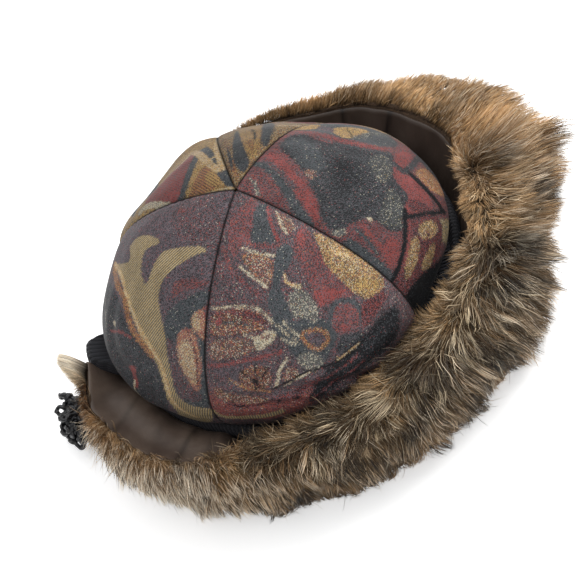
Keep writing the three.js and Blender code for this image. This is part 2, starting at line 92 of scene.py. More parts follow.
def srgb(red: float, green: float, blue: float) -> tuple[float, float, float, float]:
    """Linear colour with full alpha from 0-255 display values.

    Args:
        red: display red.
        green: display green.
        blue: display blue.

    Returns:
        The colour as Blender's sockets take it.
    """
    def linear(value: float) -> float:
        """Display value from 0 to 1 as linear light."""
        return value / 12.92 if value <= 0.04045 else ((value + 0.055) / 1.055) ** 2.4

    return (linear(red / 255), linear(green / 255), linear(blue / 255), 1.0)


def smoothstep(value: ndarray, low: float, high: float) -> ndarray:
    """Eased share of the way from low to high."""
    share = np.clip((value - low) / (high - low), 0, 1)
    return share * share * (3 - 2 * share)


def apart(azimuth: ndarray, other: float) -> ndarray:
    """Shortest way round from one azimuth to another, in degrees."""
    return (azimuth - other + 540) % 360 - 180


def falling(value: ndarray, low: float, high: float) -> ndarray:
    """1 below low and 0 above high, smooth between."""
    return 1 - smoothstep(value, low, high)


def bell(distance: ndarray, wide: float, power: float = 2) -> ndarray:
    """1 at no distance, fading to 0 past a width, the more sharply the higher the power."""
    return np.exp(-(distance / wide) ** power)


@dataclass(frozen=True)
class Zone:
    """A stretch round the hat: its middle and width in degrees, and how sharply it ends."""

    middle: float
    wide: float
    power: float = 2

    def at(self, azimuth: ndarray) -> ndarray:
        """1 in its middle, fading to 0 past its width on both sides."""
        return bell(apart(azimuth, self.middle), self.wide, self.power)


def unit(vectors: ndarray) -> ndarray:
    """The same directions at length one."""
    return vectors / np.maximum(np.linalg.norm(vectors, axis=-1, keepdims=True), 1e-9)


def ripple(points: ndarray, scale: float, seed: int, waves: int = 7) -> ndarray:
    """Smooth unevenness from a few crossing waves.

    Args:
        points: places, one row each.
        scale: usual width of a bump, in the places' own unit.
        seed: which unevenness.
        waves: how many waves cross.

    Returns:
        One value a place, mostly within -1 to 1.
    """
    random = np.random.default_rng(seed)
    total = np.zeros(len(points))
    for _ in range(waves):
        heading = unit(random.normal(size=points.shape[1]))
        pitch = scale * random.uniform(1.3, 3.0)
        total += np.sin(points @ heading * 2 * math.pi / pitch + random.uniform(0, 6.28))
    return total / math.sqrt(waves)


def round_the_hat(table: Rows, column: int, azimuth: ndarray) -> ndarray:
    """Values of a table's column eased from row to row round the hat.

    Args:
        table: rows that start with their azimuth.
        column: which column to read.
        azimuth: where to read it.

    Returns:
        One value for each azimuth.
    """
    rows = np.array([*table, (table[0][0] + 360, *table[0][1:])], float)
    angle = (np.asarray(azimuth, float) - rows[0, 0]) % 360 + rows[0, 0]
    after = np.clip(np.searchsorted(rows[:, 0], angle, side="right"), 1, len(rows) - 1)
    share = (angle - rows[after - 1, 0]) / (rows[after, 0] - rows[after - 1, 0])
    share = smoothstep(share, 0, 1)
    return rows[after - 1, column] * (1 - share) + rows[after, column] * share


# Mesh helpers


def mesh_piece(name: str, points: ndarray, faces: list[ndarray]) -> Object:
    """Linked object from points in hat millimetres and arrays of equal-sided faces.

    Args:
        name: the piece's name.
        points: corners in millimetres from the crown's axis.
        faces: arrays of corner numbers, one row a face.

    Returns:
        The new object, in metres in the frame.
    """
    mesh = bpy.data.meshes.new(name)
    corners = np.concatenate([f.ravel() for f in faces]).astype(np.int32)
    sizes = np.concatenate([np.full(len(f), f.shape[1]) for f in faces]).astype(np.int32)
    starts = np.concatenate([[0], np.cumsum(sizes)[:-1]]).astype(np.int32)
    mesh.vertices.add(len(points))
    mesh.vertices.foreach_set("co", ((points + AXIS) * MM).astype(np.float32).ravel())
    mesh.loops.add(len(corners))
    mesh.loops.foreach_set("vertex_index", corners)
    mesh.polygons.add(len(sizes))
    mesh.polygons.foreach_set("loop_start", starts)
    mesh.polygons.foreach_set("loop_total", sizes)
    mesh.polygons.foreach_set("use_smooth", np.ones(len(sizes), bool))
    mesh.update(calc_edges=True)
    piece = bpy.data.objects.new(name, mesh)
    bpy.context.scene.collection.objects.link(piece)
    return piece


def store(piece: Object, name: str, values: ndarray) -> None:
    """Keeps one number or vector a corner point for the finishes to read.

    Args:
        piece: a mesh object.
        name: the attribute's name.
        values: one row a point.
    """
    kind, slot = ("FLOAT", "value") if values.ndim == 1 else ("FLOAT_VECTOR", "vector")
    layer = piece.data.attributes.new(name, kind, "POINT")
    layer.data.foreach_set(slot, values.astype(np.float32).ravel())


def grid_faces(rows: int, columns: int, closed: bool = False, start: int = 0) -> ndarray:
    """Quads of a grid of points, row after row.

    Args:
        rows: points down.
        columns: points across.
        closed: whether the last column joins the first.
        start: number of the grid's first point.

    Returns:
        Corner numbers, four a face.
    """
    runs = columns if closed else columns - 1
    i, k = np.meshgrid(np.arange(rows - 1), np.arange(runs), indexing="ij")
    here, there = i * columns + k, i * columns + (k + 1) % columns
    return start + np.stack([here, there, there + columns, here + columns], -1).reshape(-1, 4)


def ring_border(rows: int, columns: int) -> ndarray:
    """Numbers of a grid's border points in order round it.

    Args:
        rows: points down the grid.
        columns: points across it.

    Returns:
        The numbers, one row round.
    """
    top = np.arange(columns)
    right = np.arange(1, rows) * columns + columns - 1
    bottom = (rows - 1) * columns + np.arange(columns - 2, -1, -1)
    left = np.arange(rows - 2, 0, -1) * columns
    return np.concatenate([top, right, bottom, left])


def finish_piece(piece: Object, material: Material, slot: Slot, *nodes: str) -> None:
    """Dresses a piece, rides it on the hat's body and lets it stand for CAD nodes.

    Args:
        piece: the object.
        material: its finish.
        slot: the record's slot of that finish; not used.
        nodes: CAD nodes that it stands for.
    """
    piece.data.materials.append(material)
    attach(piece, "root")
    if nodes:
        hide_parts(*nodes)


# Form of the hat, as its frame has it


@dataclass(frozen=True)
class HatForm:
    """Sizes of the crown, band and brim that every sub-assembly shares."""

    knot: tuple[float, float, float] = (176.0, 33.0, 17.0)  # azimuth, over the crown's outline, level
    mean_radius: float = 103.25
    half_width: float = 94.5
    half_length: float = 112.0
    widest: float = 62.0
    rise: float = 90.0
    power: float = 1.74
    apex_shift: float = -4.0
    edge_level: float = 36.0
    tuck: float = 0.085
    seams: tuple[float, ...] = (42, 84, 139, 229, 303.5)
    gusset: float = 166.0
    # azimuth, lean, height
    brim: tuple = (
        (4, 0.95, 1.04), (16, 1.2, 1), (40, 1.2, 1), (60, 0.85, 1), (110, 0.8, 0.92),
        (157, 0.6, 0.68), (173, 0.9, 0.98), (190, 1.35, 1), (218, 1.35, 1), (240, 0.95, 1.05),
        (262, 0.65, 1.1), (300, 0.5, 1.14), (342, 0.5, 1.12),
    )
    # distance outside the crown's widest outline, level
    brim_section: tuple = ((-5.5, 0.4), (-4.3, 8), (2.6, 24), (11, 40.5), (20, 56))
    # azimuth, reach, shoulder, crest, foot
    fur: tuple = (
        (0, 68, 43, 67, 50), (14, 73, 46, 66, 50), (26, 64, 48, 65, 46), (42, 45, 46, 64, 38),
        (60, 33, 42, 63, 32), (90, 25, 38, 60, 27), (125, 21, 32, 54, 22), (157, 15, 22, 42, 14),
        (173, 26, 34, 58, 20), (190, 33, 36, 60, 26), (204, 38, 36, 61, 30), (220, 36, 38, 62, 29),
        (260, 33, 40, 69, 29), (290, 37, 40, 72, 31), (320, 48, 40, 72, 37), (342, 49, 41, 70, 40),
    )

    def outline(self, azimuth: ndarray, over: ndarray, level: ndarray) -> ndarray:
        """Points `over` outside the crown's widest outline, at a level.

        Args:
            azimuth: azimuths in degrees.
            over: distance outside that outline.
            level: height over the ground.

        Returns:
            The points.
        """
        angle = np.asarray(azimuth) * TURN
        x = np.sin(angle) * (self.half_width + over)
        y = -np.cos(angle) * (self.half_length + over)
        return np.stack(np.broadcast_arrays(x, y, level), -1).astype(float)

    def share_at(self, level: ndarray) -> ndarray:
        """Share of the widest outline that the crown has at a level.

        Args:
            level: heights over the ground.

        Returns:
            The shares, 1 at the widest and below it.
        """
        up = np.clip((level - self.widest) / self.rise, 0, 1)
        below = np.clip((self.widest - level) / (self.widest - self.edge_level), 0, 1)
        dome = (1 - up ** self.power) ** (1 / self.power)
        return np.where(level > self.widest, dome, 1 - self.tuck * below * below)

    def outside_crown(self, points: ndarray) -> ndarray:
        """How far points lie outside the plain crown, as a share of its outline.

        Args:
            points: places in hat millimetres.

        Returns:
            The shares, negative inside the crown.
        """
        share = self.share_at(points[..., 2])
        shift = self.apex_shift * (1 - share) * (points[..., 2] > self.widest)
        off = np.hypot(points[..., 0] / self.half_width, (points[..., 1] - shift) / self.half_length)
        return off - share

    def azimuth_of(self, points: ndarray) -> ndarray:
        """Azimuths of points on the crown.

        Args:
            points: places in hat millimetres.

        Returns:
            The azimuths in degrees.
        """
        share = self.share_at(points[..., 2])
        shift = self.apex_shift * (1 - share) * (points[..., 2] > self.widest)
        across = points[..., 0] / self.half_width
        along = (points[..., 1] - shift) / self.half_length
        return np.degrees(np.arctan2(across, -along)) % 360

    def brim_face(self, azimuth: ndarray, height: ndarray) -> ndarray:
        """Over and level of the brim's inner face, from its lower fold (0) to its top (1).

        Args:
            azimuth: azimuths in degrees.
            height: places up the face, 0 to 1.

        Returns:
            Over and level, one row a place.
        """
        lean = round_the_hat(self.brim, 1, azimuth)
        tall = round_the_hat(self.brim, 2, azimuth)
        section = np.array(self.brim_section)
        steps = np.linspace(0, 1, len(section))
        over = np.interp(height, steps, section[:, 0])
        level = np.interp(height, steps, section[:, 1])
        return np.stack([np.where(over < 0, over, over * lean), level * tall], -1)

    def far_side(self, azimuth: ndarray) -> ndarray:
        """How far the brim is drawn in against the crown on its low side, from 0 to 1."""
        azimuth = np.asarray(azimuth) % 360
        return smoothstep(azimuth, 74, 96) * falling(azimuth, 161, 168)

    def fur_face(self, azimuth: ndarray, place: ndarray) -> ndarray:
        """Over and level of the fur's outer form, from its lip (0) to its foot (1).

        Args:
            azimuth: azimuths in degrees.
            place: places over the fur, 0 to 1.

        Returns:
            Over and level, one row a place.
        """
        reach, shoulder, crest, foot = (round_the_hat(self.fur, k, azimuth) for k in (1, 2, 3, 4))
        top = self.brim_face(azimuth, np.ones_like(azimuth))
        lip, lip_level = top[..., 0] + 2.5, top[..., 1] + 3
        crest = np.maximum(crest, lip_level + 3)
        reach = np.maximum(reach, lip + 3)
        out = [lip + (reach - lip) * share for share in (0.04, 0.24, 0.72, 1, 0.97)]
        overs = [*out, reach + (foot - reach) * 0.5, foot]
        mixed = 0.78 * crest + 0.22 * shoulder
        levels = [lip_level, crest, mixed, shoulder, 0.6 * shoulder, 0.22 * shoulder, 0 * shoulder]
        overs, levels = np.stack(overs, -1), np.stack(levels, -1)
        spot = np.clip(place, 0, 0.9999) * (overs.shape[-1] - 1)
        k = spot.astype(int)
        share = spot - k
        pick = np.arange(len(k))
        return np.stack([
            overs[pick, k] * (1 - share) + overs[pick, k + 1] * share,
            levels[pick, k] * (1 - share) + levels[pick, k + 1] * share,
        ], -1)


# The view


@dataclass(frozen=True)
class ViewPoint:
    """Camera at the photograph's angle, and the sight lines through its picture."""

    azimuth: float = -89.82
    elevation: float = 57.17
    roll: float = 30.17
    focal: float = 1395.05  # in picture pixels
    distance: float = 850.0
    depth: float = 190.0  # how far before and behind its aim sight lines are followed
    aim: tuple[float, float, float] = (8.52, -10.44, 60.0)  # right, up, level
    sensor: float = 36.0

    def axes(self) -> tuple[ndarray, ndarray, ndarray]:
        """Right, up and backward directions of the camera.

        Returns:
            Three unit vectors.
        """
        a, e, r = self.azimuth * TURN, self.elevation * TURN, self.roll * TURN
        back = np.array([math.sin(a) * math.cos(e), -math.cos(a) * math.cos(e), math.sin(e)])
        level = np.array([math.cos(a), math.sin(a), 0.0])
        rise = np.cross(back, level)
        right = level * math.cos(r) - rise * math.sin(r)
        return right, level * math.sin(r) + rise * math.cos(r), back

    def place(self) -> ndarray:
        """Where the camera stands, in millimetres from the crown's axis.

        Returns:
            The place.
        """
        right, up, back = self.axes()
        aim = np.array([0, 0, self.aim[2]]) + right * self.aim[0] + up * self.aim[1]
        return aim + back * self.distance

    def on_crown(self, form: HatForm, picture: ndarray) -> ndarray:
        """Points of the crown seen at places of the picture.

        Args:
            form: the hat's form.
            picture: places in picture pixels, one row each.

        Returns:
            Points in millimetres; a sight line that misses gives its nearest point.
        """
        right, up, back = self.axes()
        half = PICTURE / 2
        across, down = (picture[:, 0] - half) / self.focal, (picture[:, 1] - half) / self.focal
        lines = unit(across[:, None] * right - down[:, None] * up - back)
        far = np.arange(self.distance - self.depth, self.distance + self.depth, 1.0)
        points = self.place() + lines[:, None] * far[:, None]
        off = form.outside_crown(points)
        hit = off < 0
        first = np.where(hit.any(1), hit.argmax(1), off.argmin(1))
        return points[np.arange(len(points)), first]

    def build(self) -> None:
        """Makes the camera and sets it as the scene's own."""
        data = bpy.data.cameras.new("camera")
        data.sensor_width = self.sensor
        data.lens = self.focal * self.sensor / PICTURE
        data.clip_start, data.clip_end = 0.01, 20
        camera = bpy.data.objects.new("camera", data)
        bpy.context.scene.collection.objects.link(camera)
        right, up, back = (Vector(v) for v in self.axes())
        turn = Matrix((right, up, back)).transposed()
        camera.matrix_world = Matrix.Translation(Vector((self.place() + AXIS) * MM)) @ turn.to_4x4()
        bpy.context.scene.camera = camera


# Finishes


class Finish:
    """A node material under construction, with short ways to add and join its nodes."""

    def __init__(self, name: str) -> None:
        """Starts the material with an empty tree, a shader and an output.

        Args:
            name: the material's name.
        """
        self.material = bpy.data.materials.new(name)
        self.material.use_nodes = True
        self.tree = self.material.node_tree
        self.tree.nodes.clear()
        self.shader = self.node("ShaderNodeBsdfPrincipled")
        output = self.node("ShaderNodeOutputMaterial")
        self.tree.links.new(self.shader.outputs[0], output.inputs["Surface"])

    def node(self, kind: str, **settings: object) -> bpy.types.Node:
        """Adds a node.

        Args:
            kind: Blender's name of the node type.
            settings: properties to set on it.

        Returns:
            The node.
        """
        node = self.tree.nodes.new(kind)
        for key, value in settings.items():
            setattr(node, key, value)
        return node

    def feed(self, socket: NodeSocket, value: object) -> None:
        """Links a socket to another, or sets it to a constant.

        Args:
            socket: the socket.
            value: the other socket or the constant; None leaves it.
        """
        if isinstance(value, NodeSocket):
            self.tree.links.new(value, socket)
        elif value is not None:
            socket.default_value = value

    def read(self, name: str, output: str = "Fac") -> NodeSocket:
        """Output of a stored attribute."""
        return self.node("ShaderNodeAttribute", attribute_name=name).outputs[output]

    def result(self, kind: str, values: tuple, **settings: object) -> NodeSocket:
        """First output of a new node whose sockets take values in order.

        Args:
            kind: the node's kind.
            values: sockets or constants; None leaves a socket as it is.
            settings: properties to set on it.

        Returns:
            The output.
        """
        node = self.node(kind, **settings)
        for socket, value in zip(node.inputs, values):
            self.feed(socket, value)
        return node.outputs[0]

    def math(self, operation: str, *values: object) -> NodeSocket:
        """Result of a number operation on sockets or constants."""
        return self.result("ShaderNodeMath", values, operation=operation)

    def vector(self, operation: str, *values: object) -> NodeSocket:
        """Result of a vector operation on sockets or constants."""
        return self.result("ShaderNodeVectorMath", values, operation=operation)

    def split(self, vector: NodeSocket) -> bpy.types.bpy_prop_collection:
        """The three numbers of a vector.

        Args:
            vector: the vector.

        Returns:
            Three outputs.
        """
        node = self.node("ShaderNodeSeparateXYZ")
        self.feed(node.inputs[0], vector)
        return node.outputs

    def mix(self, share: object, first: object, second: object, blend: str = "MIX") -> NodeSocket:
        """Colour mixed from two by a share.

        Args:
            share: socket or constant from 0 to 1.
            first: colour at 0.
            second: colour at 1.
            blend: how they are mixed.

        Returns:
            The mixed colour's socket.
        """
        node = self.node("ShaderNodeMix", data_type="RGBA", blend_type=blend)
        self.feed(node.inputs["Factor"], share)
        for name, colour in (("A", first), ("B", second)):
            self.feed(next(s for s in node.inputs if s.name == name and s.type == "RGBA"), colour)
        return next(s for s in node.outputs if s.type == "RGBA")

    def shaded(self, colour: object, shade: NodeSocket) -> NodeSocket:
        """Colour made lighter or darker by a factor."""
        return self.mix(1.0, colour, self.result("ShaderNodeCombineColor", (shade,) * 3), "MULTIPLY")

    def between(self, value: object, low: float, high: float,
                start: float = 0, end: float = 1) -> NodeSocket:
        """Value moved from one range to another and held inside it."""
        return self.result("ShaderNodeMapRange", (value, low, high, start, end), clamp=True)

    def noise(self, place: object, scale: float, detail: float = 2) -> NodeSocket:
        """Smooth noise at a place.

        Args:
            place: where it is read.
            scale: waves to a unit.
            detail: how fine it gets.

        Returns:
            The noise, 0 to 1.
        """
        node = self.node("ShaderNodeTexNoise")
        self.feed(node.inputs["Vector"], place)
        node.inputs["Scale"].default_value = scale
        node.inputs["Detail"].default_value = detail
        return node.outputs["Fac"]

    def bump(self, height: object, strength: float, depth: float) -> NodeSocket:
        """Relief from a height, `depth` metres deep.

        Args:
            height: the height, 0 to 1.
            strength: how far it shows.
            depth: metres from 0 to 1.

        Returns:
            The normal.
        """
        node = self.node("ShaderNodeBump")
        node.inputs["Strength"].default_value = strength
        node.inputs["Distance"].default_value = depth
        self.feed(node.inputs["Height"], height)
        return node.outputs[0]

    def surface(self, **values: object) -> None:
        """Sets or links the shader's sockets by name, with _ for a space."""
        for key, value in values.items():
            self.feed(self.shader.inputs[key.replace("_", " ")], value)


@dataclass(frozen=True)
class JacquardFinish:
    """Cloth woven in seven yarns, each thread cell showing one of them."""

    # ink, slate, mauve, brick, orange, gold, cream
    yarns: tuple = (
        (17, 18, 21), (72, 77, 80), (106, 92, 98), (136, 66, 62), (170, 108, 64), (176, 148, 94),
        (186, 180, 160),
    )
    thread: tuple = (0.44, 0.52, 1.0)  # size of a thread cell across and down, in mm
    twill_pitch: float = 1.5
    crisp: float = 0.6  # how far single threads stand out from the mixed colour

    def mixed(self, shares: ndarray) -> ndarray:
        """Colour of the cloth from afar, from the shares of its yarns."""
        return shares @ np.array([srgb(*yarn)[:3] for yarn in self.yarns])

    def build(self) -> Material:
        """Builds the material.

        Returns:
            The finished material.
        """
        f = Finish("jacquard_cloth")
        cloth = f.read("weave", "Vector")
        cells = f.vector("FLOOR", f.vector("DIVIDE", cloth, self.thread))
        chance = f.node("ShaderNodeTexWhiteNoise", noise_dimensions="3D")
        f.feed(chance.inputs["Vector"], cells)
        chance = chance.outputs["Value"]
        across, down, _ = f.split(cloth)
        diagonal = f.math("DIVIDE", f.math("ADD", across, f.math("MULTIPLY", down, 0.12)), self.twill_pitch)
        lines = f.math("FRACT", f.math("ADD", diagonal, f.math("MULTIPLY", chance, 0.22)))
        choice = f.result("ShaderNodeMix", (f.read("twill"), None, chance, lines), data_type="FLOAT")
        colour = srgb(*self.yarns[-1])
        for k in reversed(range(len(self.yarns) - 1)):
            colour = f.mix(f.math("LESS_THAN", choice, f.read(f"share_{k}")), colour, srgb(*self.yarns[k]))
        colour = f.mix(self.crisp, f.read("ground", "Vector"), colour)
        shade = f.between(f.noise(cloth, 0.09, 3), 0.3, 0.7, 0.84, 1.12)
        # tone: each gore's brightness, partly painted light and shade
        for factor in (f.between(f.read("seam"), 0.15, 1.1, 0.28, 1), f.read("tone"),
                       f.between(chance, 0, 1, 0.9, 1.1)):
            shade = f.math("MULTIPLY", shade, factor)
        colour = f.shaded(colour, shade)
        wale = f.math("SINE", f.math("MULTIPLY", diagonal, 2 * math.pi))
        height = f.math("ADD", f.math("MULTIPLY", wale, 0.3), chance)
        f.surface(Base_Color=colour, Roughness=f.between(chance, 0, 1, 0.5, 0.78))
        f.surface(Normal=f.bump(height, 0.5, 0.0002), Sheen_Weight=0.03, Sheen_Roughness=0.4)
        f.surface(Specular_IOR_Level=0.14)
        return f.material


@dataclass(frozen=True)
class RibKnitFinish:
    """Black rib knit with V-shaped stitches."""

    yarn: tuple = (23, 23, 26)
    lit: tuple = (46, 47, 52)
    stitch: float = 2.3

    def build(self) -> Material:
        """Builds the material.

        Returns:
            The finished material.
        """
        f = Finish("rib_knit_black")
        place = f.read("knit", "Vector")
        across, down, _ = f.split(place)
        wale = f.math("ABSOLUTE", f.math("SINE", f.math("MULTIPLY", across, math.pi)))
        course = f.math("ADD", f.math("DIVIDE", down, self.stitch), f.math("MULTIPLY", wale, 0.5))
        loop = f.math("SINE", f.math("MULTIPLY", course, 2 * math.pi))
        fuzz = f.noise(place, 3.0, 4)
        height = f.math("ADD", f.math("MULTIPLY", loop, 0.35), f.math("ADD", wale, fuzz))
        colour = f.mix(f.between(height, 0.4, 2.0), srgb(*self.yarn), srgb(*self.lit))
        f.surface(Base_Color=colour, Roughness=f.between(fuzz, 0.3, 0.7, 0.7, 0.9))
        f.surface(Normal=f.bump(height, 0.8, 0.0005), Sheen_Weight=0.35, Sheen_Roughness=0.5)
        f.surface(Sheen_Tint=srgb(120, 120, 130))
        return f.material


@dataclass(frozen=True)
class SatinFinish:
    """Dark brown satin with a fine weave and a soft directional shine."""

    # crease: painted shadow colour along the pleats
    crease: tuple = (15, 12, 11)
    # shaded: painted shade colour for where the facing lies in shade
    shaded: tuple = (50, 41, 36)
    deep: tuple = (84, 70, 62)
    lit: tuple = (114, 99, 88)
    weave_lines: float = 2.4  # lines a millimetre

    def build(self) -> Material:
        """Builds the material.

        Returns:
            The finished material.
        """
        f = Finish("satin_brown")
        place = f.read("cloth", "Vector")
        across, down, _ = f.split(place)
        soft = f.noise(place, 0.06, 3)
        slub = f.noise(f.vector("MULTIPLY", place, (0.25, 3.0, 1.0)), 1.2, 3)
        weft = f.math("SINE", f.math("MULTIPLY", down, self.weave_lines * 2 * math.pi))
        warp = f.math("SINE", f.math("MULTIPLY", across, self.weave_lines * math.pi))
        thread = f.math("MULTIPLY", weft, warp)
        colour = f.mix(f.between(soft, 0.3, 0.72), srgb(*self.deep), srgb(*self.lit))
        colour = f.mix(f.between(slub, 0.35, 0.65, 0, 0.35), colour, srgb(*self.deep))
        # painted shade: the shaded colour mixed in where the facing lies in shade
        colour = f.mix(f.read("painted_shade"), colour, srgb(*self.shaded))
        # painted shadow along the pleats
        colour = f.mix(f.math("MULTIPLY", f.read("pleat_shadow"), 0.85), colour, srgb(*self.crease))
        height = f.math("ADD", f.math("MULTIPLY", thread, 0.4), slub)
        f.surface(Base_Color=colour, Roughness=f.between(slub, 0.3, 0.7, 0.4, 0.5))
        f.surface(Normal=f.bump(height, 0.35, 0.00012), Anisotropic=0.5, Sheen_Weight=0.12)
        f.surface(Sheen_Roughness=0.35, Sheen_Tint=srgb(190, 165, 150), Specular_IOR_Level=0.45)
        return f.material


@dataclass(frozen=True)
class FurFinish:
    """Hair shaded from its root to its tip, different from zone to zone."""

    reads: ClassVar[tuple[str, ...]] = ("strand", "tone", "dark", "pale", "grey", "rusty")
    # root: the hairs' own dark bases, deepened as painted shade down among the hairs
    root: tuple = (34, 24, 16)
    middle: tuple = (116, 84, 52)
    golden: tuple = (192, 155, 110)
    ink: tuple = (38, 28, 20)
    silver: tuple = (226, 216, 198)
    cream: tuple = (226, 207, 174)
    rust: tuple = (168, 116, 70)

    def build(self) -> Material:
        """Builds the material.

        Returns:
            The finished material.
        """
        f = Finish("long_fur")
        along = f.read("along")
        strand, tone, dark, pale, grey, rusty = (f.read(name) for name in self.reads)
        body = f.mix(tone, srgb(*self.middle), srgb(*self.golden))
        body = f.mix(rusty, body, srgb(*self.rust))
        # dark towards the roots: the hair's own colour and painted shade deep in the fur
        colour = f.mix(f.between(along, 0.08, 0.72), srgb(*self.root), body)
        band = f.math("MULTIPLY", f.between(along, 0.5, 0.7), dark)
        colour = f.mix(band, colour, srgb(*self.ink))
        tip = f.math("MULTIPLY", f.between(along, 0.56, 0.88), grey)
        colour = f.mix(tip, colour, srgb(*self.silver))
        light = f.mix(grey, srgb(*self.cream), srgb(*self.silver))
        colour = f.mix(f.math("MULTIPLY", pale, f.between(along, 0.05, 0.5)), colour, light)
        shade = f.between(strand, 0, 1, 0.2, 1.55)
        colour = f.shaded(colour, shade)
        f.surface(Base_Color=colour, Roughness=f.between(strand, 0, 1, 0.42, 0.66))
        f.surface(Specular_IOR_Level=0.2, Sheen_Weight=0.05, Sheen_Roughness=0.4)
        return f.material


@dataclass(frozen=True)
class PeltFinish:
    """Dense dark underfur seen between the hairs, its darkness partly its own colour and partly painted
    shade in the gaps.
    """

    deep: tuple = (40, 29, 22)
    lit: tuple = (84, 64, 46)

    def build(self) -> Material:
        """Builds the material.

        Returns:
            The finished material.
        """
        f = Finish("underfur")
        place = f.read("coat", "Vector")
        clumps = f.noise(place, 0.16, 4)
        fine = f.noise(f.vector("MULTIPLY", place, (1.6, 0.4, 1.0)), 1.1, 4)
        colour = f.mix(f.between(f.math("ADD", clumps, fine), 0.7, 1.3), srgb(*self.deep), srgb(*self.lit))
        f.surface(Base_Color=colour, Roughness=f.between(fine, 0.3, 0.7, 0.8, 0.95))
        f.surface(Normal=f.bump(fine, 0.9, 0.0012), Sheen_Weight=0.4, Sheen_Roughness=0.6)
        f.surface(Sheen_Tint=srgb(150, 125, 100))
        return f.material


@dataclass(frozen=True)
class YarnFinish:
    """Shiny black bouclé yarn."""

    yarn: tuple = (14, 14, 16)
    lit: tuple = (38, 38, 42)

    def build(self) -> Material:
        """Builds the material.

        Returns:
            The finished material.
        """
        f = Finish("yarn_black")
        place = f.node("ShaderNodeTexCoord").outputs["Object"]
        twist = f.noise(place, 900, 3)
        colour = f.mix(f.between(twist, 0.35, 0.7), srgb(*self.yarn), srgb(*self.lit))
        f.surface(Base_Color=colour, Roughness=f.between(twist, 0.3, 0.7, 0.28, 0.45))
        f.surface(Normal=f.bump(twist, 0.6, 0.0003), Specular_IOR_Level=0.5, Coat_Weight=0.15)
        return f.material


# Crown


class Detail(Enum):
    """Enlarged parts of the picture in which places are read: left, top, enlargement."""

    PICTURE = (0, 0, 1.0)
    APEX_LEFT = (85, 110, 8.2526)
    FRONT = (230, 115, 6.817)
    BACK = (85, 220, 7.84)
    SIDE = (190, 250, 7.467)


class Blend(Enum):
    """Shares of the seven yarns: ink, slate, mauve, brick, orange, gold, cream."""

    CHARCOAL = (0.56, 0.365, 0.06, 0.01, 0, 0, 0.005)
    INK = (0.97, 0.03, 0, 0, 0, 0, 0)
    NIGHT = (0.8, 0.17, 0.02, 0.01, 0, 0, 0)
    SLATE = (0.32, 0.62, 0.05, 0, 0, 0, 0.01)
    SLATE_FLECKED = (0.44, 0.43, 0.04, 0, 0, 0.01, 0.08)
    MAUVE = (0.34, 0.28, 0.34, 0.04, 0, 0, 0)
    DUSK = (0.36, 0.32, 0.2, 0.11, 0, 0, 0.01)
    BRICK = (0.22, 0.1, 0.1, 0.58, 0, 0, 0)
    BRICK_SPECK = (0.3, 0.27, 0.12, 0.3, 0.01, 0, 0)
    WINE = (0.54, 0.08, 0.12, 0.26, 0, 0, 0)
    FERN = (0.45, 0.1, 0.08, 0.19, 0.06, 0.04, 0.08)
    SPARK = (0.34, 0.2, 0.1, 0.18, 0.04, 0.04, 0.1)
    BERRY = (0.24, 0.46, 0.07, 0.01, 0, 0.02, 0.2)
    GOLD = (0.34, 0.05, 0.03, 0.02, 0.1, 0.44, 0.02)
    GOLD_SPECK = (0.38, 0.09, 0.05, 0.05, 0.09, 0.26, 0.08)
    OCHRE = (0.36, 0.05, 0.08, 0.1, 0.18, 0.22, 0.01)
    OLIVE = (0.28, 0.22, 0.04, 0, 0, 0.34, 0.12)
    STRAW = (0.12, 0.04, 0.02, 0.02, 0.12, 0.42, 0.26)
    CREAM = (0.14, 0.14, 0.04, 0.02, 0.03, 0.12, 0.51)
    ROSE = (0.17, 0.12, 0.07, 0.32, 0.09, 0.07, 0.16)
    PETAL = (0.18, 0.17, 0.04, 0.09, 0.05, 0.17, 0.3)
    EMBER = (0.34, 0.05, 0.05, 0.16, 0.2, 0.14, 0.06)
    RUSSET = (0.29, 0.16, 0.1, 0.4, 0.04, 0, 0.01)


@dataclass(frozen=True)
class Motif:
    """A figure woven in the cloth: a filled outline, or a line of some width."""

    blend: Blend
    detail: Detail
    points: tuple  # across and down by turns, in the pixels of its detail
    width: float = 0  # mm of a line; 0 fills the outline
    twill: float = 0
    soft: float = 0.5  # mm over which its edge breaks up


A, B, F, S = Detail.APEX_LEFT, Detail.BACK, Detail.FRONT, Detail.SIDE

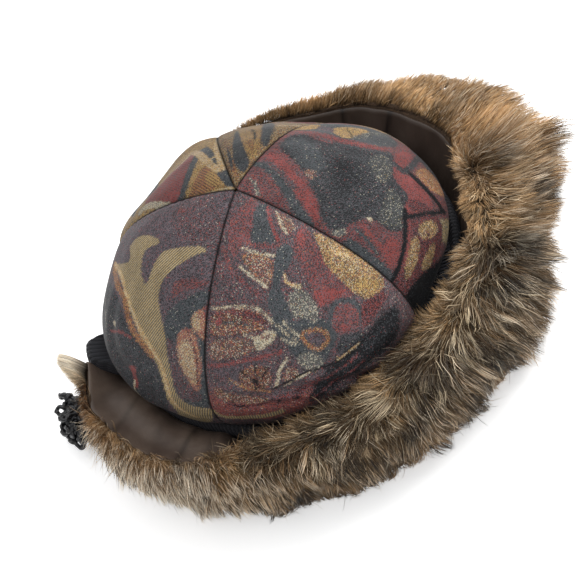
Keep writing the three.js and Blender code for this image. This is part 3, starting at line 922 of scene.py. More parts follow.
# Cloth and figures of each gore, back to front: blend, detail, places in that detail by turns
# across and down, then width, twill and softness where they aren't the usual ones.
FIGURES: dict[int, tuple[Blend, tuple[tuple, ...]]] = {
    1: (Blend.GOLD_SPECK, (
        (Blend.EMBER, A, (1070, 150, 1130, 150, 1180, 330, 1270, 560, 1245, 640, 1110, 400)),
        (Blend.SLATE, A, (1110, 100, 1240, 100, 1290, 250, 1340, 380, 1350, 450, 1290, 565, 1255, 530, 1210,
         400, 1150, 250)),
        (Blend.GOLD, A, (1240, 90, 1450, 90, 1455, 250, 1420, 360, 1355, 450, 1300, 280), 0, 0.4),
        (Blend.INK, A, (1370, 150, 1400, 190, 1400, 240), 1.1),
        (Blend.OCHRE, A, (1330, 250, 1400, 260, 1380, 340, 1345, 330)),
        (Blend.SLATE, F, (230, 20, 310, 40, 290, 130, 240, 220, 205, 200, 215, 100)),
        (Blend.STRAW, F, (330, 60, 620, 40), 2.4),
        (Blend.MAUVE, F, (620, 50, 730, 80, 700, 110, 620, 90)),
    )),
    2: (Blend.GOLD, (
        (Blend.OCHRE, A, (1050, 400, 1150, 540, 1210, 640, 1010, 700, 850, 740, 900, 640, 940, 520), 0, 0.6),
        (Blend.GOLD, A, (1000, 520, 1110, 500, 1180, 610, 1040, 650), 0, 0.7),
        (Blend.BRICK, A, (1000, 220, 900, 330, 740, 460, 600, 590, 440, 800, 760, 775, 820, 640, 880, 480,
         960, 330), 0, 0.3),
        (Blend.SLATE, A, (1040, 200, 985, 290, 930, 360, 885, 450, 850, 580, 805, 690, 770, 790), 5.2),
        (Blend.STRAW, A, (1090, 160, 1000, 240, 900, 320, 800, 420, 740, 470), 4.2),
        (Blend.CREAM, A, (440, 830, 500, 775, 600, 770, 760, 785), 5.0),
        (Blend.STRAW, A, (850, 740, 930, 700, 1010, 692, 1110, 670, 1230, 650), 2.2),
        (Blend.STRAW, A, (950, 455, 1000, 425, 1060, 380), 2.0),
    )),
    3: (Blend.MAUVE, (
        (Blend.DUSK, A, (760, 780, 1240, 660, 1200, 900, 1130, 1120, 900, 1080, 700, 900)),
        (Blend.BRICK_SPECK, A, (790, 800, 860, 800, 850, 850, 800, 850)),
        (Blend.BRICK_SPECK, B, (700, 480, 840, 440, 970, 460, 960, 490, 760, 560, 680, 620)),
        (Blend.SLATE, B, (985, 510, 850, 570, 700, 660, 620, 760, 640, 900, 660, 1000, 690, 1200, 730, 1370,
         860, 1470, 1000, 1500, 1000, 1000, 985, 700)),
        (Blend.DUSK, B, (640, 900, 720, 950, 760, 1160, 860, 1320, 940, 1390, 850, 1440, 730, 1370, 690,
         1200)),
        (Blend.CHARCOAL, B, (60, 520, 215, 480, 290, 640, 340, 800, 430, 960, 540, 1110, 620, 1280, 670,
         1480, 560, 1600, 330, 1500, 60, 1300, 0, 900)),
        (Blend.OLIVE, B, (240, 330, 350, 345, 370, 290, 360, 210, 420, 130, 520, 110, 600, 150, 590, 185,
         500, 215, 462, 300, 455, 430, 490, 520, 535, 420, 560, 330, 620, 235, 760, 200, 900, 190, 985, 225,
         900, 260, 800, 310, 720, 370, 640, 440, 600, 530, 590, 650, 610, 780, 640, 900, 655, 1020, 680,
         1200, 720, 1370, 800, 1440, 960, 1490, 1010, 1500, 1010, 1620, 860, 1600, 740, 1530, 660, 1440, 610,
         1280, 560, 1120, 470, 960, 400, 800, 350, 640, 320, 470, 290, 400), 0, 1.0, 0.25),
        (Blend.OCHRE, B, (215, 350, 245, 450, 300, 560, 330, 640, 355, 760, 400, 880, 470, 980, 530, 1050),
         4.6, 0.3),
        (Blend.STRAW, B, (225, 340, 300, 410, 325, 540, 370, 680, 430, 830, 520, 980, 590, 1120, 640, 1260,
         665, 1400, 740, 1490, 860, 1560), 2.6),
        (Blend.BRICK, B, (215, 870, 300, 870, 370, 920), 1.4),
        (Blend.BRICK, B, (340, 1130, 410, 1140, 402, 1240, 425, 1330, 385, 1290, 362, 1190)),
        (Blend.CREAM, B, (385, 1260, 415, 1350, 490, 1420), 1.3),
        (Blend.CREAM, B, (225, 780, 262, 800, 250, 840, 225, 820)),
        (Blend.BERRY, B, (150, 620, 165, 720, 185, 830), 1.6),
        (Blend.ROSE, B, (800, 830, 860, 870, 900, 1010, 915, 1180, 900, 1360, 850, 1320, 790, 1230, 740,
         1080, 720, 950, 750, 860), 0, 0.35),
        (Blend.PETAL, B, (800, 910, 870, 990, 885, 1180, 868, 1310, 805, 1220, 748, 1090, 735, 980), 0, 0.35,
         1.5),
        (Blend.ROSE, B, (830, 880, 868, 1010, 880, 1150, 885, 1290), 1.6, 0, 0.9),
        (Blend.ROSE, B, (955, 660, 880, 700, 830, 760, 840, 830, 880, 900, 960, 980), 0, 0.3),
        (Blend.PETAL, B, (880, 700, 835, 760, 850, 830, 905, 880, 920, 780), 0, 0.35, 1.2),
        (Blend.WINE, B, (800, 840, 850, 960, 880, 1120, 890, 1300), 0.8),
        (Blend.BRICK_SPECK, B, (945, 660, 955, 800, 950, 980), 2.0),
    )),
    4: (Blend.DUSK, (
        (Blend.BRICK_SPECK, F, (60, 520, 160, 570, 130, 700, 100, 850, 0, 1000, -20, 700)),
        (Blend.SLATE, F, (150, 640, 200, 580, 245, 620, 270, 740, 310, 860, 240, 880, 130, 860)),
        (Blend.BRICK_SPECK, F, (120, 600, 140, 700, 100, 860, 200, 880, 330, 880), 2.4),
        (Blend.BRICK, F, (240, 620, 265, 730, 320, 850), 1.5),
        (Blend.SPARK, F, (285, 640, 400, 690, 440, 760, 375, 820, 330, 760)),
        (Blend.CREAM, F, (300, 650, 330, 740, 375, 800), 1.1),
        (Blend.EMBER, F, (60, 910, 290, 950, 280, 1140, 240, 1170, 130, 1050), 0, 0, 0.9),
        (Blend.SPARK, F, (75, 930, 285, 965, 275, 1130, 240, 1150, 150, 1060), 0, 0, 0.9),
        (Blend.CREAM, F, (75, 905, 180, 930, 295, 950), 1.2),
        (Blend.CREAM, F, (70, 1020, 150, 1090, 260, 1175), 1.2),
        (Blend.BRICK_SPECK, F, (-40, 860, -10, 1000, 90, 1130, 200, 1220), 2.6),
        (Blend.SLATE, F, (340, 860, 420, 890, 420, 1000, 350, 1080, 340, 1180, 400, 1300, 440, 1400, 300,
         1380, 240, 1280, 300, 1100, 290, 960)),
        (Blend.STRAW, F, (365, 1080, 385, 1150, 480, 1170), 1.3),
        (Blend.BERRY, S, (720, 340, 800, 260, 900, 340, 940, 430, 880, 520, 760, 500), 0, 0, 0.9),
        (Blend.SLATE, S, (620, 460, 740, 540, 900, 480, 1080, 540, 1100, 640, 1050, 740, 960, 880, 860, 880,
         760, 760, 680, 650, 600, 560)),
        (Blend.BERRY, S, (920, 380, 960, 420, 950, 520, 900, 560, 890, 460)),
        (Blend.CREAM, S, (650, 560, 720, 620, 800, 680), 1.0),
        (Blend.CREAM, S, (690, 520, 760, 600, 820, 640), 0.9),
        (Blend.CREAM, S, (680, 650, 740, 680, 790, 700), 0.9),
        (Blend.MAUVE, S, (850, 600, 990, 590, 1030, 670, 960, 720, 880, 690)),
        (Blend.EMBER, S, (850, 600, 990, 585, 1040, 670, 960, 745, 870, 700, 830, 640, 850, 600), 2.2),
        (Blend.BERRY, S, (780, 800, 860, 750, 960, 770, 1010, 840, 930, 890, 850, 880)),
        (Blend.FERN, S, (160, 450, 300, 425, 430, 430, 540, 480, 600, 560, 500, 600, 300, 620, 150, 640), 0,
         0, 1.0),
        (Blend.WINE, S, (300, 440, 430, 445, 540, 490, 600, 560, 480, 530, 350, 480), 0, 0, 1.2),
        (Blend.BRICK_SPECK, S, (180, 470, 330, 450, 470, 490, 560, 560), 1.6),
        (Blend.SLATE, S, (200, 560, 330, 520, 450, 560), 1.3),
        (Blend.CREAM, S, (165, 420, 300, 415, 430, 400, 540, 450, 615, 540), 1.2, 0, 0.9),
        (Blend.BRICK, S, (190, 500, 240, 500, 240, 560, 195, 550)),
        (Blend.CREAM, S, (520, 620, 620, 580, 655, 640, 600, 700, 500, 745, 470, 670)),
        (Blend.WINE, S, (500, 620, 560, 650, 600, 640), 1.4),
        (Blend.CREAM, S, (410, 620, 480, 660), 1.2),
        (Blend.SPARK, S, (140, 660, 440, 640, 500, 760, 300, 800, 140, 820), 0, 0, 1.2),
        (Blend.MAUVE, S, (130, 880, 350, 860, 560, 840, 600, 1000, 420, 1060, 250, 960)),
        (Blend.BRICK, S, (150, 860, 300, 840, 420, 815, 560, 785, 680, 755), 1.7, 0, 0.9),
        (Blend.FERN, S, (380, 880, 560, 840, 630, 960, 560, 1045, 430, 1040, 365, 960), 0, 0, 0.9),
        (Blend.INK, S, (390, 900, 480, 960, 560, 1030), 0.9),
        (Blend.INK, S, (480, 860, 500, 950, 500, 1030), 0.9),
        (Blend.INK, S, (580, 870, 540, 950, 450, 1020), 0.9),
        (Blend.RUSSET, S, (100, 1060, 200, 1090, 330, 1130, 620, 1110, 880, 1050, 960, 950, 1110, 880, 1000,
         1060, 860, 1160, 640, 1250, 300, 1270, 120, 1220), 0, 0, 2.2),
        (Blend.FERN, S, (180, 1000, 330, 1080, 560, 1080, 640, 1120, 380, 1150, 170, 1080)),
        (Blend.WINE, S, (300, 1150, 480, 1160, 640, 1100, 820, 1040, 960, 940), 2.4),
        (Blend.EMBER, S, (300, 965, 420, 1030, 600, 1060), 1.6),
        (Blend.SPARK, S, (700, 850, 850, 900, 700, 1000)),
        (Blend.CREAM, S, (725, 810, 665, 890, 650, 1010), 1.6),
        (Blend.OLIVE, S, (170, 1222, 231, 1245, 347, 1258, 537, 1238, 680, 1190), 4.4, 0.9),
        (Blend.BRICK_SPECK, F, (430, 800, 420, 900, 470, 1040, 560, 1170, 570, 1290, 640, 1300, 700, 1240,
         860, 1240, 800, 1170, 700, 1080, 620, 950, 560, 840, 490, 740)),
        (Blend.BRICK, F, (440, 770, 500, 770, 500, 900, 450, 880)),
        (Blend.BRICK, F, (560, 1180, 780, 1180, 800, 1220, 700, 1250, 620, 1310, 580, 1260)),
        (Blend.GOLD_SPECK, F, (530, 770, 700, 840, 850, 920, 1060, 1100, 1040, 1180, 960, 1260, 850, 1220,
         800, 1170, 740, 1110, 640, 1020, 600, 900)),
        (Blend.GOLD, F, (830, 1120, 960, 1100, 1030, 1150, 950, 1230, 850, 1190), 0, 0, 1.2),
        (Blend.STRAW, F, (700, 930, 820, 950, 860, 1050, 800, 1060), 1.2),
        (Blend.BRICK_SPECK, S, (1050, 400, 1150, 360, 1260, 420, 1270, 540, 1200, 620, 1080, 620, 1040,
         520)),
        (Blend.SLATE, S, (1040, 520, 1060, 410, 1150, 360, 1250, 410, 1280, 520), 2.6),
        (Blend.BRICK, S, (1115, 555, 1175, 555, 1170, 600, 1120, 600)),
        (Blend.CHARCOAL, S, (1100, 640, 1230, 600, 1300, 620, 1200, 740, 1080, 780)),
        (Blend.WINE, S, (1280, 380, 1440, 290, 1480, 340, 1380, 480, 1300, 600, 1270, 500)),
        # painted shade: near-black where the cloth folds under in shadow at the hem
        (Blend.NIGHT, S, (1029, 838, 1190, 724, 1333, 571, 1493, 410, 1562, 400, 1562, 667, 1333, 838, 1095,
         1000, 914, 1124, 857, 1095), 0, 0, 2.6),
        (Blend.STRAW, S, (1090, 800, 1180, 760, 1260, 700), 1.4),
        (Blend.WINE, S, (667, 1124, 857, 1029, 1048, 914, 1238, 781), 1.6),
        (Blend.WINE, S, (900, 1090, 1095, 960, 1286, 810), 1.4),
        (Blend.INK, S, (610, 1038, 762, 952, 914, 886, 1095, 819, 1230, 740), 1.6),
        (Blend.CREAM, S, (700, 1010, 800, 945, 930, 890), 0.8, 0, 0.3),
        (Blend.INK, S, (650, 1105, 680, 1095, 690, 1115, 660, 1135)),
        (Blend.INK, S, (775, 1080, 810, 1065, 825, 1090, 790, 1110)),
        (Blend.INK, S, (345, 1150, 380, 1158, 415, 1150), 0.9, 0, 0.3),
    )),
    5: (Blend.BRICK_SPECK, (
        (Blend.BRICK, F, (190, 270, 330, 270, 420, 400, 520, 480, 610, 660, 580, 780, 480, 690, 440, 560,
         330, 400), 0, 0, 0.8),
        (Blend.SLATE, F, (150, 330, 260, 410, 340, 500, 440, 620, 520, 740), 4.6, 0, 0.9),
        (Blend.DUSK, F, (210, 320, 330, 400, 430, 500), 2.4),
        (Blend.BERRY, F, (90, 430, 180, 500, 205, 560, 120, 530, 60, 480)),
        (Blend.CHARCOAL, F, (330, 180, 460, 120, 620, 190, 800, 200, 960, 260, 1100, 250, 1130, 400, 1210,
         480, 1230, 580, 1150, 640, 1190, 790, 1080, 790, 1000, 720, 900, 690, 840, 760, 700, 810, 610, 700,
         600, 600, 540, 500, 480, 400, 330, 260), 0, 0, 0.9),
        (Blend.SLATE, F, (330, 190, 460, 140, 600, 230, 640, 360, 540, 420, 420, 330), 0, 0, 1.6),
        (Blend.NIGHT, F, (620, 300, 860, 300, 840, 520, 700, 540), 0, 0, 6),
        (Blend.SPARK, F, (500, 370, 580, 380, 570, 450, 510, 440), 0, 0, 1.2),
        (Blend.SLATE_FLECKED, F, (930, 290, 1060, 270, 1110, 380, 1050, 480, 960, 420)),
        (Blend.SLATE_FLECKED, F, (1060, 480, 1170, 560, 1180, 780, 1060, 760, 980, 690, 1040, 620), 0, 0,
         1.2),
        (Blend.CREAM, F, (920, 690, 975, 700, 960, 725, 925, 712)),
        (Blend.BERRY, F, (660, 780, 760, 760, 820, 800, 720, 830)),
        (Blend.BRICK_SPECK, F, (830, 710, 1010, 740, 1110, 810, 1170, 900, 1110, 1090, 900, 930, 760, 820)),
        (Blend.BRICK, F, (1040, 850, 1150, 830, 1160, 960, 1110, 1060, 1040, 960), 0, 0, 0.8),
        (Blend.SLATE, F, (860, 780, 930, 850, 1000, 940), 1.8),
        (Blend.BRICK, F, (880, 740, 960, 820, 1040, 920), 1.8),
        (Blend.SLATE, F, (790, 860, 900, 930, 1000, 1010, 1110, 1110), 4.8),
        (Blend.BRICK, F, (1110, 250, 1250, 280, 1210, 340, 1190, 400, 1240, 430, 1340, 530, 1400, 640, 1210,
         680, 1170, 640, 1230, 560, 1130, 460, 1100, 380)),
        (Blend.WINE, F, (1200, 560, 1320, 600, 1390, 650, 1230, 670)),
        (Blend.CHARCOAL, F, (1110, 330, 1190, 400, 1230, 350, 1310, 270), 4.6),
        (Blend.EMBER, F, (1240, 390, 1320, 360, 1420, 480, 1470, 570, 1400, 560, 1300, 450)),
        (Blend.INK, F, (1230, 410, 1330, 510, 1400, 590, 1450, 660), 4.0),
        (Blend.INK, F, (1200, 690, 1320, 680, 1460, 660), 3.4),
        (Blend.WINE, F, (1210, 700, 1440, 680, 1470, 900, 1400, 1080, 1250, 1300, 1120, 1280, 1110, 1130,
         1190, 1000, 1220, 850)),
        (Blend.GOLD_SPECK, F, (1290, 740, 1370, 710, 1430, 740, 1420, 810, 1350, 850, 1290, 810)),
        (Blend.GOLD_SPECK, F, (1220, 870, 1270, 800, 1310, 870, 1290, 1010, 1220, 1130, 1190, 1080)),
        (Blend.GOLD_SPECK, F, (1390, 880, 1430, 860, 1410, 1060, 1330, 1050, 1340, 980)),
        (Blend.WINE, F, (1330, 800, 1370, 790, 1360, 830), 1.2),
        (Blend.INK, F, (1190, 650, 1200, 780, 1195, 880, 1160, 1020, 1100, 1130), 3.6),
        (Blend.BRICK, F, (1220, 720, 1230, 840, 1210, 960, 1170, 1060), 2.2),
        (Blend.SLATE, F, (380, 40, 560, 40, 900, 70, 1080, 150, 1160, 230, 1040, 225, 880, 190, 740, 165,
         600, 110, 400, 95)),
        (Blend.GOLD, F, (380, 50, 600, 48, 622, 78, 500, 92, 400, 84)),
        (Blend.GOLD, F, (690, 82, 930, 100, 950, 140, 840, 168, 745, 158, 700, 115)),
        (Blend.INK, F, (800, 95, 820, 130, 830, 165), 0.9, 0, 0.3),
        (Blend.BRICK, F, (430, 110, 620, 140, 780, 190, 900, 215, 1060, 240), 2.4, 0, 0.9),
        (Blend.SLATE, F, (560, 150, 740, 205, 900, 240, 1040, 262), 1.4),
        (Blend.SLATE_FLECKED, F, (860, 160, 1000, 130, 1120, 150, 1200, 220), 4.0),
        (Blend.MAUVE, F, (600, 60, 720, 90, 700, 120, 590, 90)),
        # painted shade: black on the cloth where the hem turns under into the dark gap by the fur
        (Blend.INK, Detail.PICTURE, (454, 246, 444, 262, 430, 270, 418, 281, 408, 296, 403, 312, 410, 328,
         428, 334, 450, 312, 460, 280), 0, 0, 2.4),
    )),
}

# Figures where the picture doesn't see the cloth: gore, blend, across and down from the
# gore's top middle in mm, half width, half height, turn in degrees.
HIDDEN_FIGURES = (
    (1, Blend.BRICK, -14, 100, 13, 26, 20), (1, Blend.CHARCOAL, 18, 122, 15, 22, -25),
    (1, Blend.OLIVE, 2, 150, 20, 10, 10), (1, Blend.CREAM, -20, 128, 4, 16, 35),
    (2, Blend.SLATE, 12, 112, 16, 24, 25), (2, Blend.BRICK_SPECK, -22, 128, 16, 20, -20),
    (2, Blend.OLIVE, 26, 150, 14, 18, 15), (2, Blend.ROSE, -6, 150, 7, 18, -35),
    (5, Blend.OLIVE, -34, 138, 10, 30, -20), (5, Blend.CHARCOAL, 10, 142, 30, 18, 5),
    (5, Blend.GOLD_SPECK, 44, 128, 14, 26, 25), (5, Blend.ROSE, -12, 156, 16, 6, -10),
    (3, Blend.CHARCOAL, -30, 138, 18, 24, -10), (3, Blend.OLIVE, 2, 158, 34, 6, 4),
)


def outline_distance(points: ndarray, outline: ndarray) -> ndarray:
    """Distance to a closed outline, negative inside it.

    Args:
        points: places on the flat cloth, one row each.
        outline: corners of the outline.

    Returns:
        One distance a place.
    """
    ahead = np.roll(outline, -1, axis=0)
    nearest = line_distance(points, np.vstack([outline, outline[:1]]))
    rises = (outline[:, 1] > points[:, 1:2]) != (ahead[:, 1] > points[:, 1:2])
    run, fall = (ahead - outline).T
    slope = run / np.where(fall == 0, 1e-9, fall)
    crossing = (points[:, 1:2] - outline[:, 1]) * slope + outline[:, 0]
    inside = (rises & (points[:, :1] < crossing)).sum(1) % 2 == 1
    return np.where(inside, -nearest, nearest)


def line_distance(points: ndarray, line: ndarray) -> ndarray:
    """Distance from places to a line of straight runs.

    Args:
        points: places on the flat cloth, one row each.
        line: the line's points in order.

    Returns:
        One distance a place.
    """
    nearest = np.full(len(points), 1e9)
    for start, end in zip(line[:-1], line[1:]):
        run = end - start
        share = np.clip((points - start) @ run / max(run @ run, 1e-9), 0, 1)
        nearest = np.minimum(nearest, np.linalg.norm(points - start - share[:, None] * run, axis=1))
    return nearest


def eased(line: ndarray, closed: bool) -> ndarray:
    """The same line with its corners cut twice, so that it curves.

    Args:
        line: its corners.
        closed: whether it ends where it starts.

    Returns:
        The new corners.
    """
    for _ in range(2):
        ahead = np.roll(line, -1, axis=0) if closed else line[1:]
        here = line if closed else line[:-1]
        cut = np.stack([0.75 * here + 0.25 * ahead, 0.25 * here + 0.75 * ahead], 1).reshape(-1, 2)
        line = cut if closed else np.vstack([line[:1], cut, line[-1:]])
    return line


@dataclass
class Crown:
    """Five jacquard gores sewn into a dome."""

    form: HatForm
    view: ViewPoint
    cloth: float = 2.0
    spacing: float = 1.35  # distance between two points of the outer face, mm
    seam_gap: float = 0.36
    dome_rows: int = 112
    edge_rows: int = 20
    puff: float = 1.6
    seam_sink: float = 1.2
    seam_sink_width: float = 6.0
    crease: float = 0.8
    crease_width: float = 1.5
    pucker: float = 0.34
    pucker_pitch: float = 5.2
    dents: tuple = (  # azimuth, share down, depth, width
        (62, 0.62, 2.6, 34), (118, 0.5, 2.2, 30), (205, 0.82, 2.4, 26), (335, 0.6, 1.8, 36),
        (46, 0.68, 6.5, 25), (93, 0.75, -7.5, 20), (114, 0.64, 5.5, 20), (149, 0.78, 5.5, 26),
        (312, 0.86, 5.0, 26),
    )
    folds: tuple = (  # places in the picture, depth, width
        (((368, 374), (330, 382), (277, 389), (234, 398)), 2.2, 2.6),
        (((300, 398), (262, 404), (232, 404)), 1.2, 2.0),
        (((118, 300), (112, 335), (122, 366), (150, 396)), 1.3, 4.0),
        (((350, 352), (372, 336), (388, 318)), 1.4, 3.2),
    )
    # azimuth, width in degrees, depth, level at which it has faded out
    hem_tucks: tuple = ((226, 22, 4.0, 84), (312, 30, 5.0, 84), (320, 18, 4.0, 108))
    gore_tones_and_painted_light: tuple[float, ...] = (0.6, 0.74, 1.2, 1.28, 0.96)  # how light each gore's cloth is: partly its own colour, partly painted light and shade

    def rows(self) -> tuple[ndarray, ndarray, ndarray, ndarray]:
        """Share down the dome, outline share, level and arc length of each row of points.

        Returns:
            One row of numbers each.
        """
        down = np.linspace(0.012, 1, self.dome_rows + 1)
        angle = down * math.pi / 2
        share = np.sin(angle) ** (2 / self.form.power)
        level = self.form.widest + self.form.rise * np.cos(angle).clip(0) ** (2 / self.form.power)
        below = np.linspace(0, 1, self.edge_rows + 1)[1:]
        edge = self.form.widest - below * (self.form.widest - self.form.edge_level)
        down = np.concatenate([down, np.ones(len(below))])
        share = np.concatenate([share, 1 - self.form.tuck * below * below])
        level = np.concatenate([level, edge])
        radius = share * self.form.mean_radius
        run = np.hypot(np.diff(radius), np.diff(level))
        return down, share, level, radius[0] + np.concatenate([[0], np.cumsum(run)])

    def flat(self, points: ndarray, middle: float) -> ndarray:
        """Places on the flat cloth of a gore: across its middle line, and down from its top.

        Args:
            points: places on the crown.
            middle: azimuth of the gore's middle.

        Returns:
            The places, one row each.
        """
        _, _, level, length = self.rows()
        share = self.form.share_at(points[:, 2])
        across = apart(self.form.azimuth_of(points), middle) * TURN * self.form.mean_radius * share
        down = np.interp(-points[:, 2], -level, length)
        return np.stack([across, down], -1)

    def face(self, start: float, span: float, columns: int, inset: float,
             step: int) -> dict[str, ndarray]:
        """Points of a gore's face with what its finish needs.

        Args:
            start: azimuth of the gore's first seam.
            span: degrees to its other seam.
            columns: points across.
            inset: depth below the outer face.
            step: which rows to keep, every one or every fourth.

        Returns:
            Points, places on the flat cloth and distances to the nearer seam.
        """
        down, share, level, length = (row[::step][:, None] for row in self.rows())
        across = np.linspace(0, 1, columns)[None, :]
        radius = self.form.mean_radius * share
        trim = np.minimum(0.3 * span, self.seam_gap / 2 / (radius + 0.5) / TURN)
        azimuth = start + trim + (span - 2 * trim) * across
        to_seam = np.minimum(across, 1 - across) * span * TURN * radius
        fade = smoothstep(level, 46, 74)
        top = np.minimum(1, share * 3)
        swell = self.puff * np.sin(math.pi * across) * share
        swell = swell - self.seam_sink * bell(to_seam, self.seam_sink_width) * top
        for dent_azimuth, dent_down, depth, width in self.dents:
            away = apart(azimuth, dent_azimuth) * TURN * radius
            along = (down - dent_down) * 1.6 * self.form.rise
            swell = swell - depth * np.exp(-(away * away + along * along) / width ** 2)
        swell = swell * fade
        swell = swell - self.crease * bell(to_seam, self.crease_width) * top
        gathers = np.sin(length / self.pucker_pitch * 2 * math.pi + 2.2 * np.sin(length / 17 + start))
        swell = swell + self.pucker * gathers * bell(to_seam, 7) * top * (to_seam > 0.4)
        shape = np.broadcast_to(azimuth, swell.shape)
        across = (shape - start - span / 2) * TURN * radius
        place = np.stack([across, np.broadcast_to(length, swell.shape)], -1)
        rough = ripple(place.reshape(-1, 2), 15, int(start) + 3).reshape(swell.shape)
        swell = swell + 0.36 * rough * np.minimum(1, to_seam / 9)
        for line, depth, width in self.folds:
            seen = self.view.on_crown(self.form, eased(np.array(line, float), False))
            flat = self.flat(seen, start + span / 2)
            near = line_distance(place.reshape(-1, 2), flat).reshape(swell.shape)
            crest = bell(near, width) - 0.5 * np.exp(-((near - 2.4 * width) / width) ** 2)
            swell = swell - depth * crest * (near < 40)
        for where, wide, depth, top_level in self.hem_tucks:
            swell = swell - depth * Zone(where, wide).at(azimuth) * falling(level, 40, top_level)
        steep = down * down
        lift = swell * (1 - steep)
        thick = inset * np.minimum(1, share * 8)
        outward = share + (swell * steep - thick) / self.form.half_length
        points = self.form.outline(azimuth, 0.0, level + lift - thick * (1 - steep))
        points[..., 0] *= outward
        shift = self.form.apex_shift * np.maximum(0, 1 - share) * (level > self.form.edge_level) * (down < 1)
        points[..., 1] = points[..., 1] * outward + shift
        return {"points": points.reshape(-1, 3), "flat": place.reshape(-1, 2), "seam": to_seam.reshape(-1)}

    def yarn_shares(self, number: int, flat: ndarray, middle: float) -> tuple[ndarray, ndarray]:
        """Shares of the yarns and strength of the twill at places of a gore's cloth.

        Args:
            number: the gore's number.
            flat: places on the flat cloth.
            middle: azimuth of the gore's middle.

        Returns:
            Shares, one row a place, and the twill, one value a place.
        """
        ground, motifs = FIGURES[number]
        shares = np.tile(np.array(ground.value), (len(flat), 1))
        twill = np.zeros(len(flat))
        wander = 0.35 * ripple(flat, 2.6, number + 90)
        hidden = [row for row in HIDDEN_FIGURES if row[0] == number]
        for _, blend, across, down, wide, tall, turn in hidden:
            angle = np.linspace(0, 2 * math.pi, 28, endpoint=False)
            bent = 0.45 * wide * np.cos(angle) ** 2
            broad = wide * np.sin(angle) * (0.72 + 0.3 * np.cos(angle))
            leaf = np.stack([broad + bent, tall * np.cos(angle)], -1)
            c, s = math.cos(turn * TURN), math.sin(turn * TURN)
            leaf = leaf @ np.array([[c, s], [-s, c]]) + (across, down)
            cover = smoothstep(-outline_distance(flat, leaf) + wander, -0.4, 0.4)[:, None]
            shares = shares * (1 - cover) + np.array(blend.value) * cover
        for motif in (Motif(*row) for row in motifs):
            left, top, enlarged = motif.detail.value
            picture = np.reshape(motif.points, (-1, 2)) / enlarged + (left, top)
            seen = self.flat(self.view.on_crown(self.form, picture), middle)
            if motif.width:
                off = line_distance(flat, eased(seen, False)) - motif.width / 2
            else:
                off = outline_distance(flat, eased(seen, True))
            cover = smoothstep(-off + wander * min(1, motif.soft), -motif.soft, motif.soft)
            shares = shares * (1 - cover[:, None]) + np.array(motif.blend.value) * cover[:, None]
            twill = twill * (1 - cover) + motif.twill * cover
        return shares, twill

    def gore(self, number: int, cloth: JacquardFinish, finish: Material) -> Object:
        """Builds one gore as a closed wall and dresses it.

        Args:
            number: the gore's number, from 1.
            cloth: the finish that its colours come from.
            finish: its material.

        Returns:
            The gore.
        """
        seams = self.form.seams
        start = seams[number - 1]
        span = (seams[number % len(seams)] - start) % 360
        quarter = math.ceil(span * TURN * self.form.mean_radius / self.spacing / 4)
        fine, coarse = 4 * quarter + 1, quarter + 1
        outer = self.face(start, span, fine, 0, 1)
        inner = self.face(start, span, coarse, self.cloth, 4)
        rows = self.dome_rows + self.edge_rows + 1
        few = (rows - 1) // 4 + 1
        count = len(outer["points"])
        border, back = ring_border(rows, fine), count + ring_border(few, coarse)
        strip = []
        for k, corner in enumerate(back):
            following = back[(k + 1) % len(back)]
            run = [border[(4 * k + step) % len(border)] for step in range(5)]
            strip += [(run[step + 1], run[step], corner) for step in range(2)]
            strip += [(run[2], corner, following)]
            strip += [(run[step + 1], run[step], following) for step in range(2, 4)]
        faces = [grid_faces(rows, fine)[:, ::-1], grid_faces(few, coarse, start=count), np.array(strip)]
        piece = mesh_piece(f"jacquard_gore_{number}", np.vstack([outer["points"], inner["points"]]), faces)
        flat = np.vstack([outer["flat"], inner["flat"]])
        shares, twill = self.yarn_shares(number, flat, start + span / 2)
        limits = np.cumsum(shares, axis=1)
        for k in range(6):
            store(piece, f"share_{k}", limits[:, k])
        store(piece, "twill", twill)
        store(piece, "ground", cloth.mixed(shares))
        store(piece, "weave", np.column_stack([flat, np.full(len(flat), number * 7.0)]))
        store(piece, "seam", np.concatenate([outer["seam"], inner["seam"]]))
        # tone: partly the cloth's colour, partly painted light and shade
        store(piece, "tone", np.full(len(flat), self.gore_tones_and_painted_light[number - 1]))
        finish_piece(piece, finish, Slot.JACQUARD, f"crown_gore_{number}")
        _, share, _, length = self.rows()
        width, run = span * TURN * self.form.mean_radius * MM, float(length[-1]) * MM
        return piece

    def build(self) -> list[Object]:
        """Builds and dresses the gores.

        Returns:
            The five gores.
        """
        cloth = JacquardFinish()
        finish = cloth.build()
        return [self.gore(number, cloth, finish) for number in FIGURES]


# Knit band


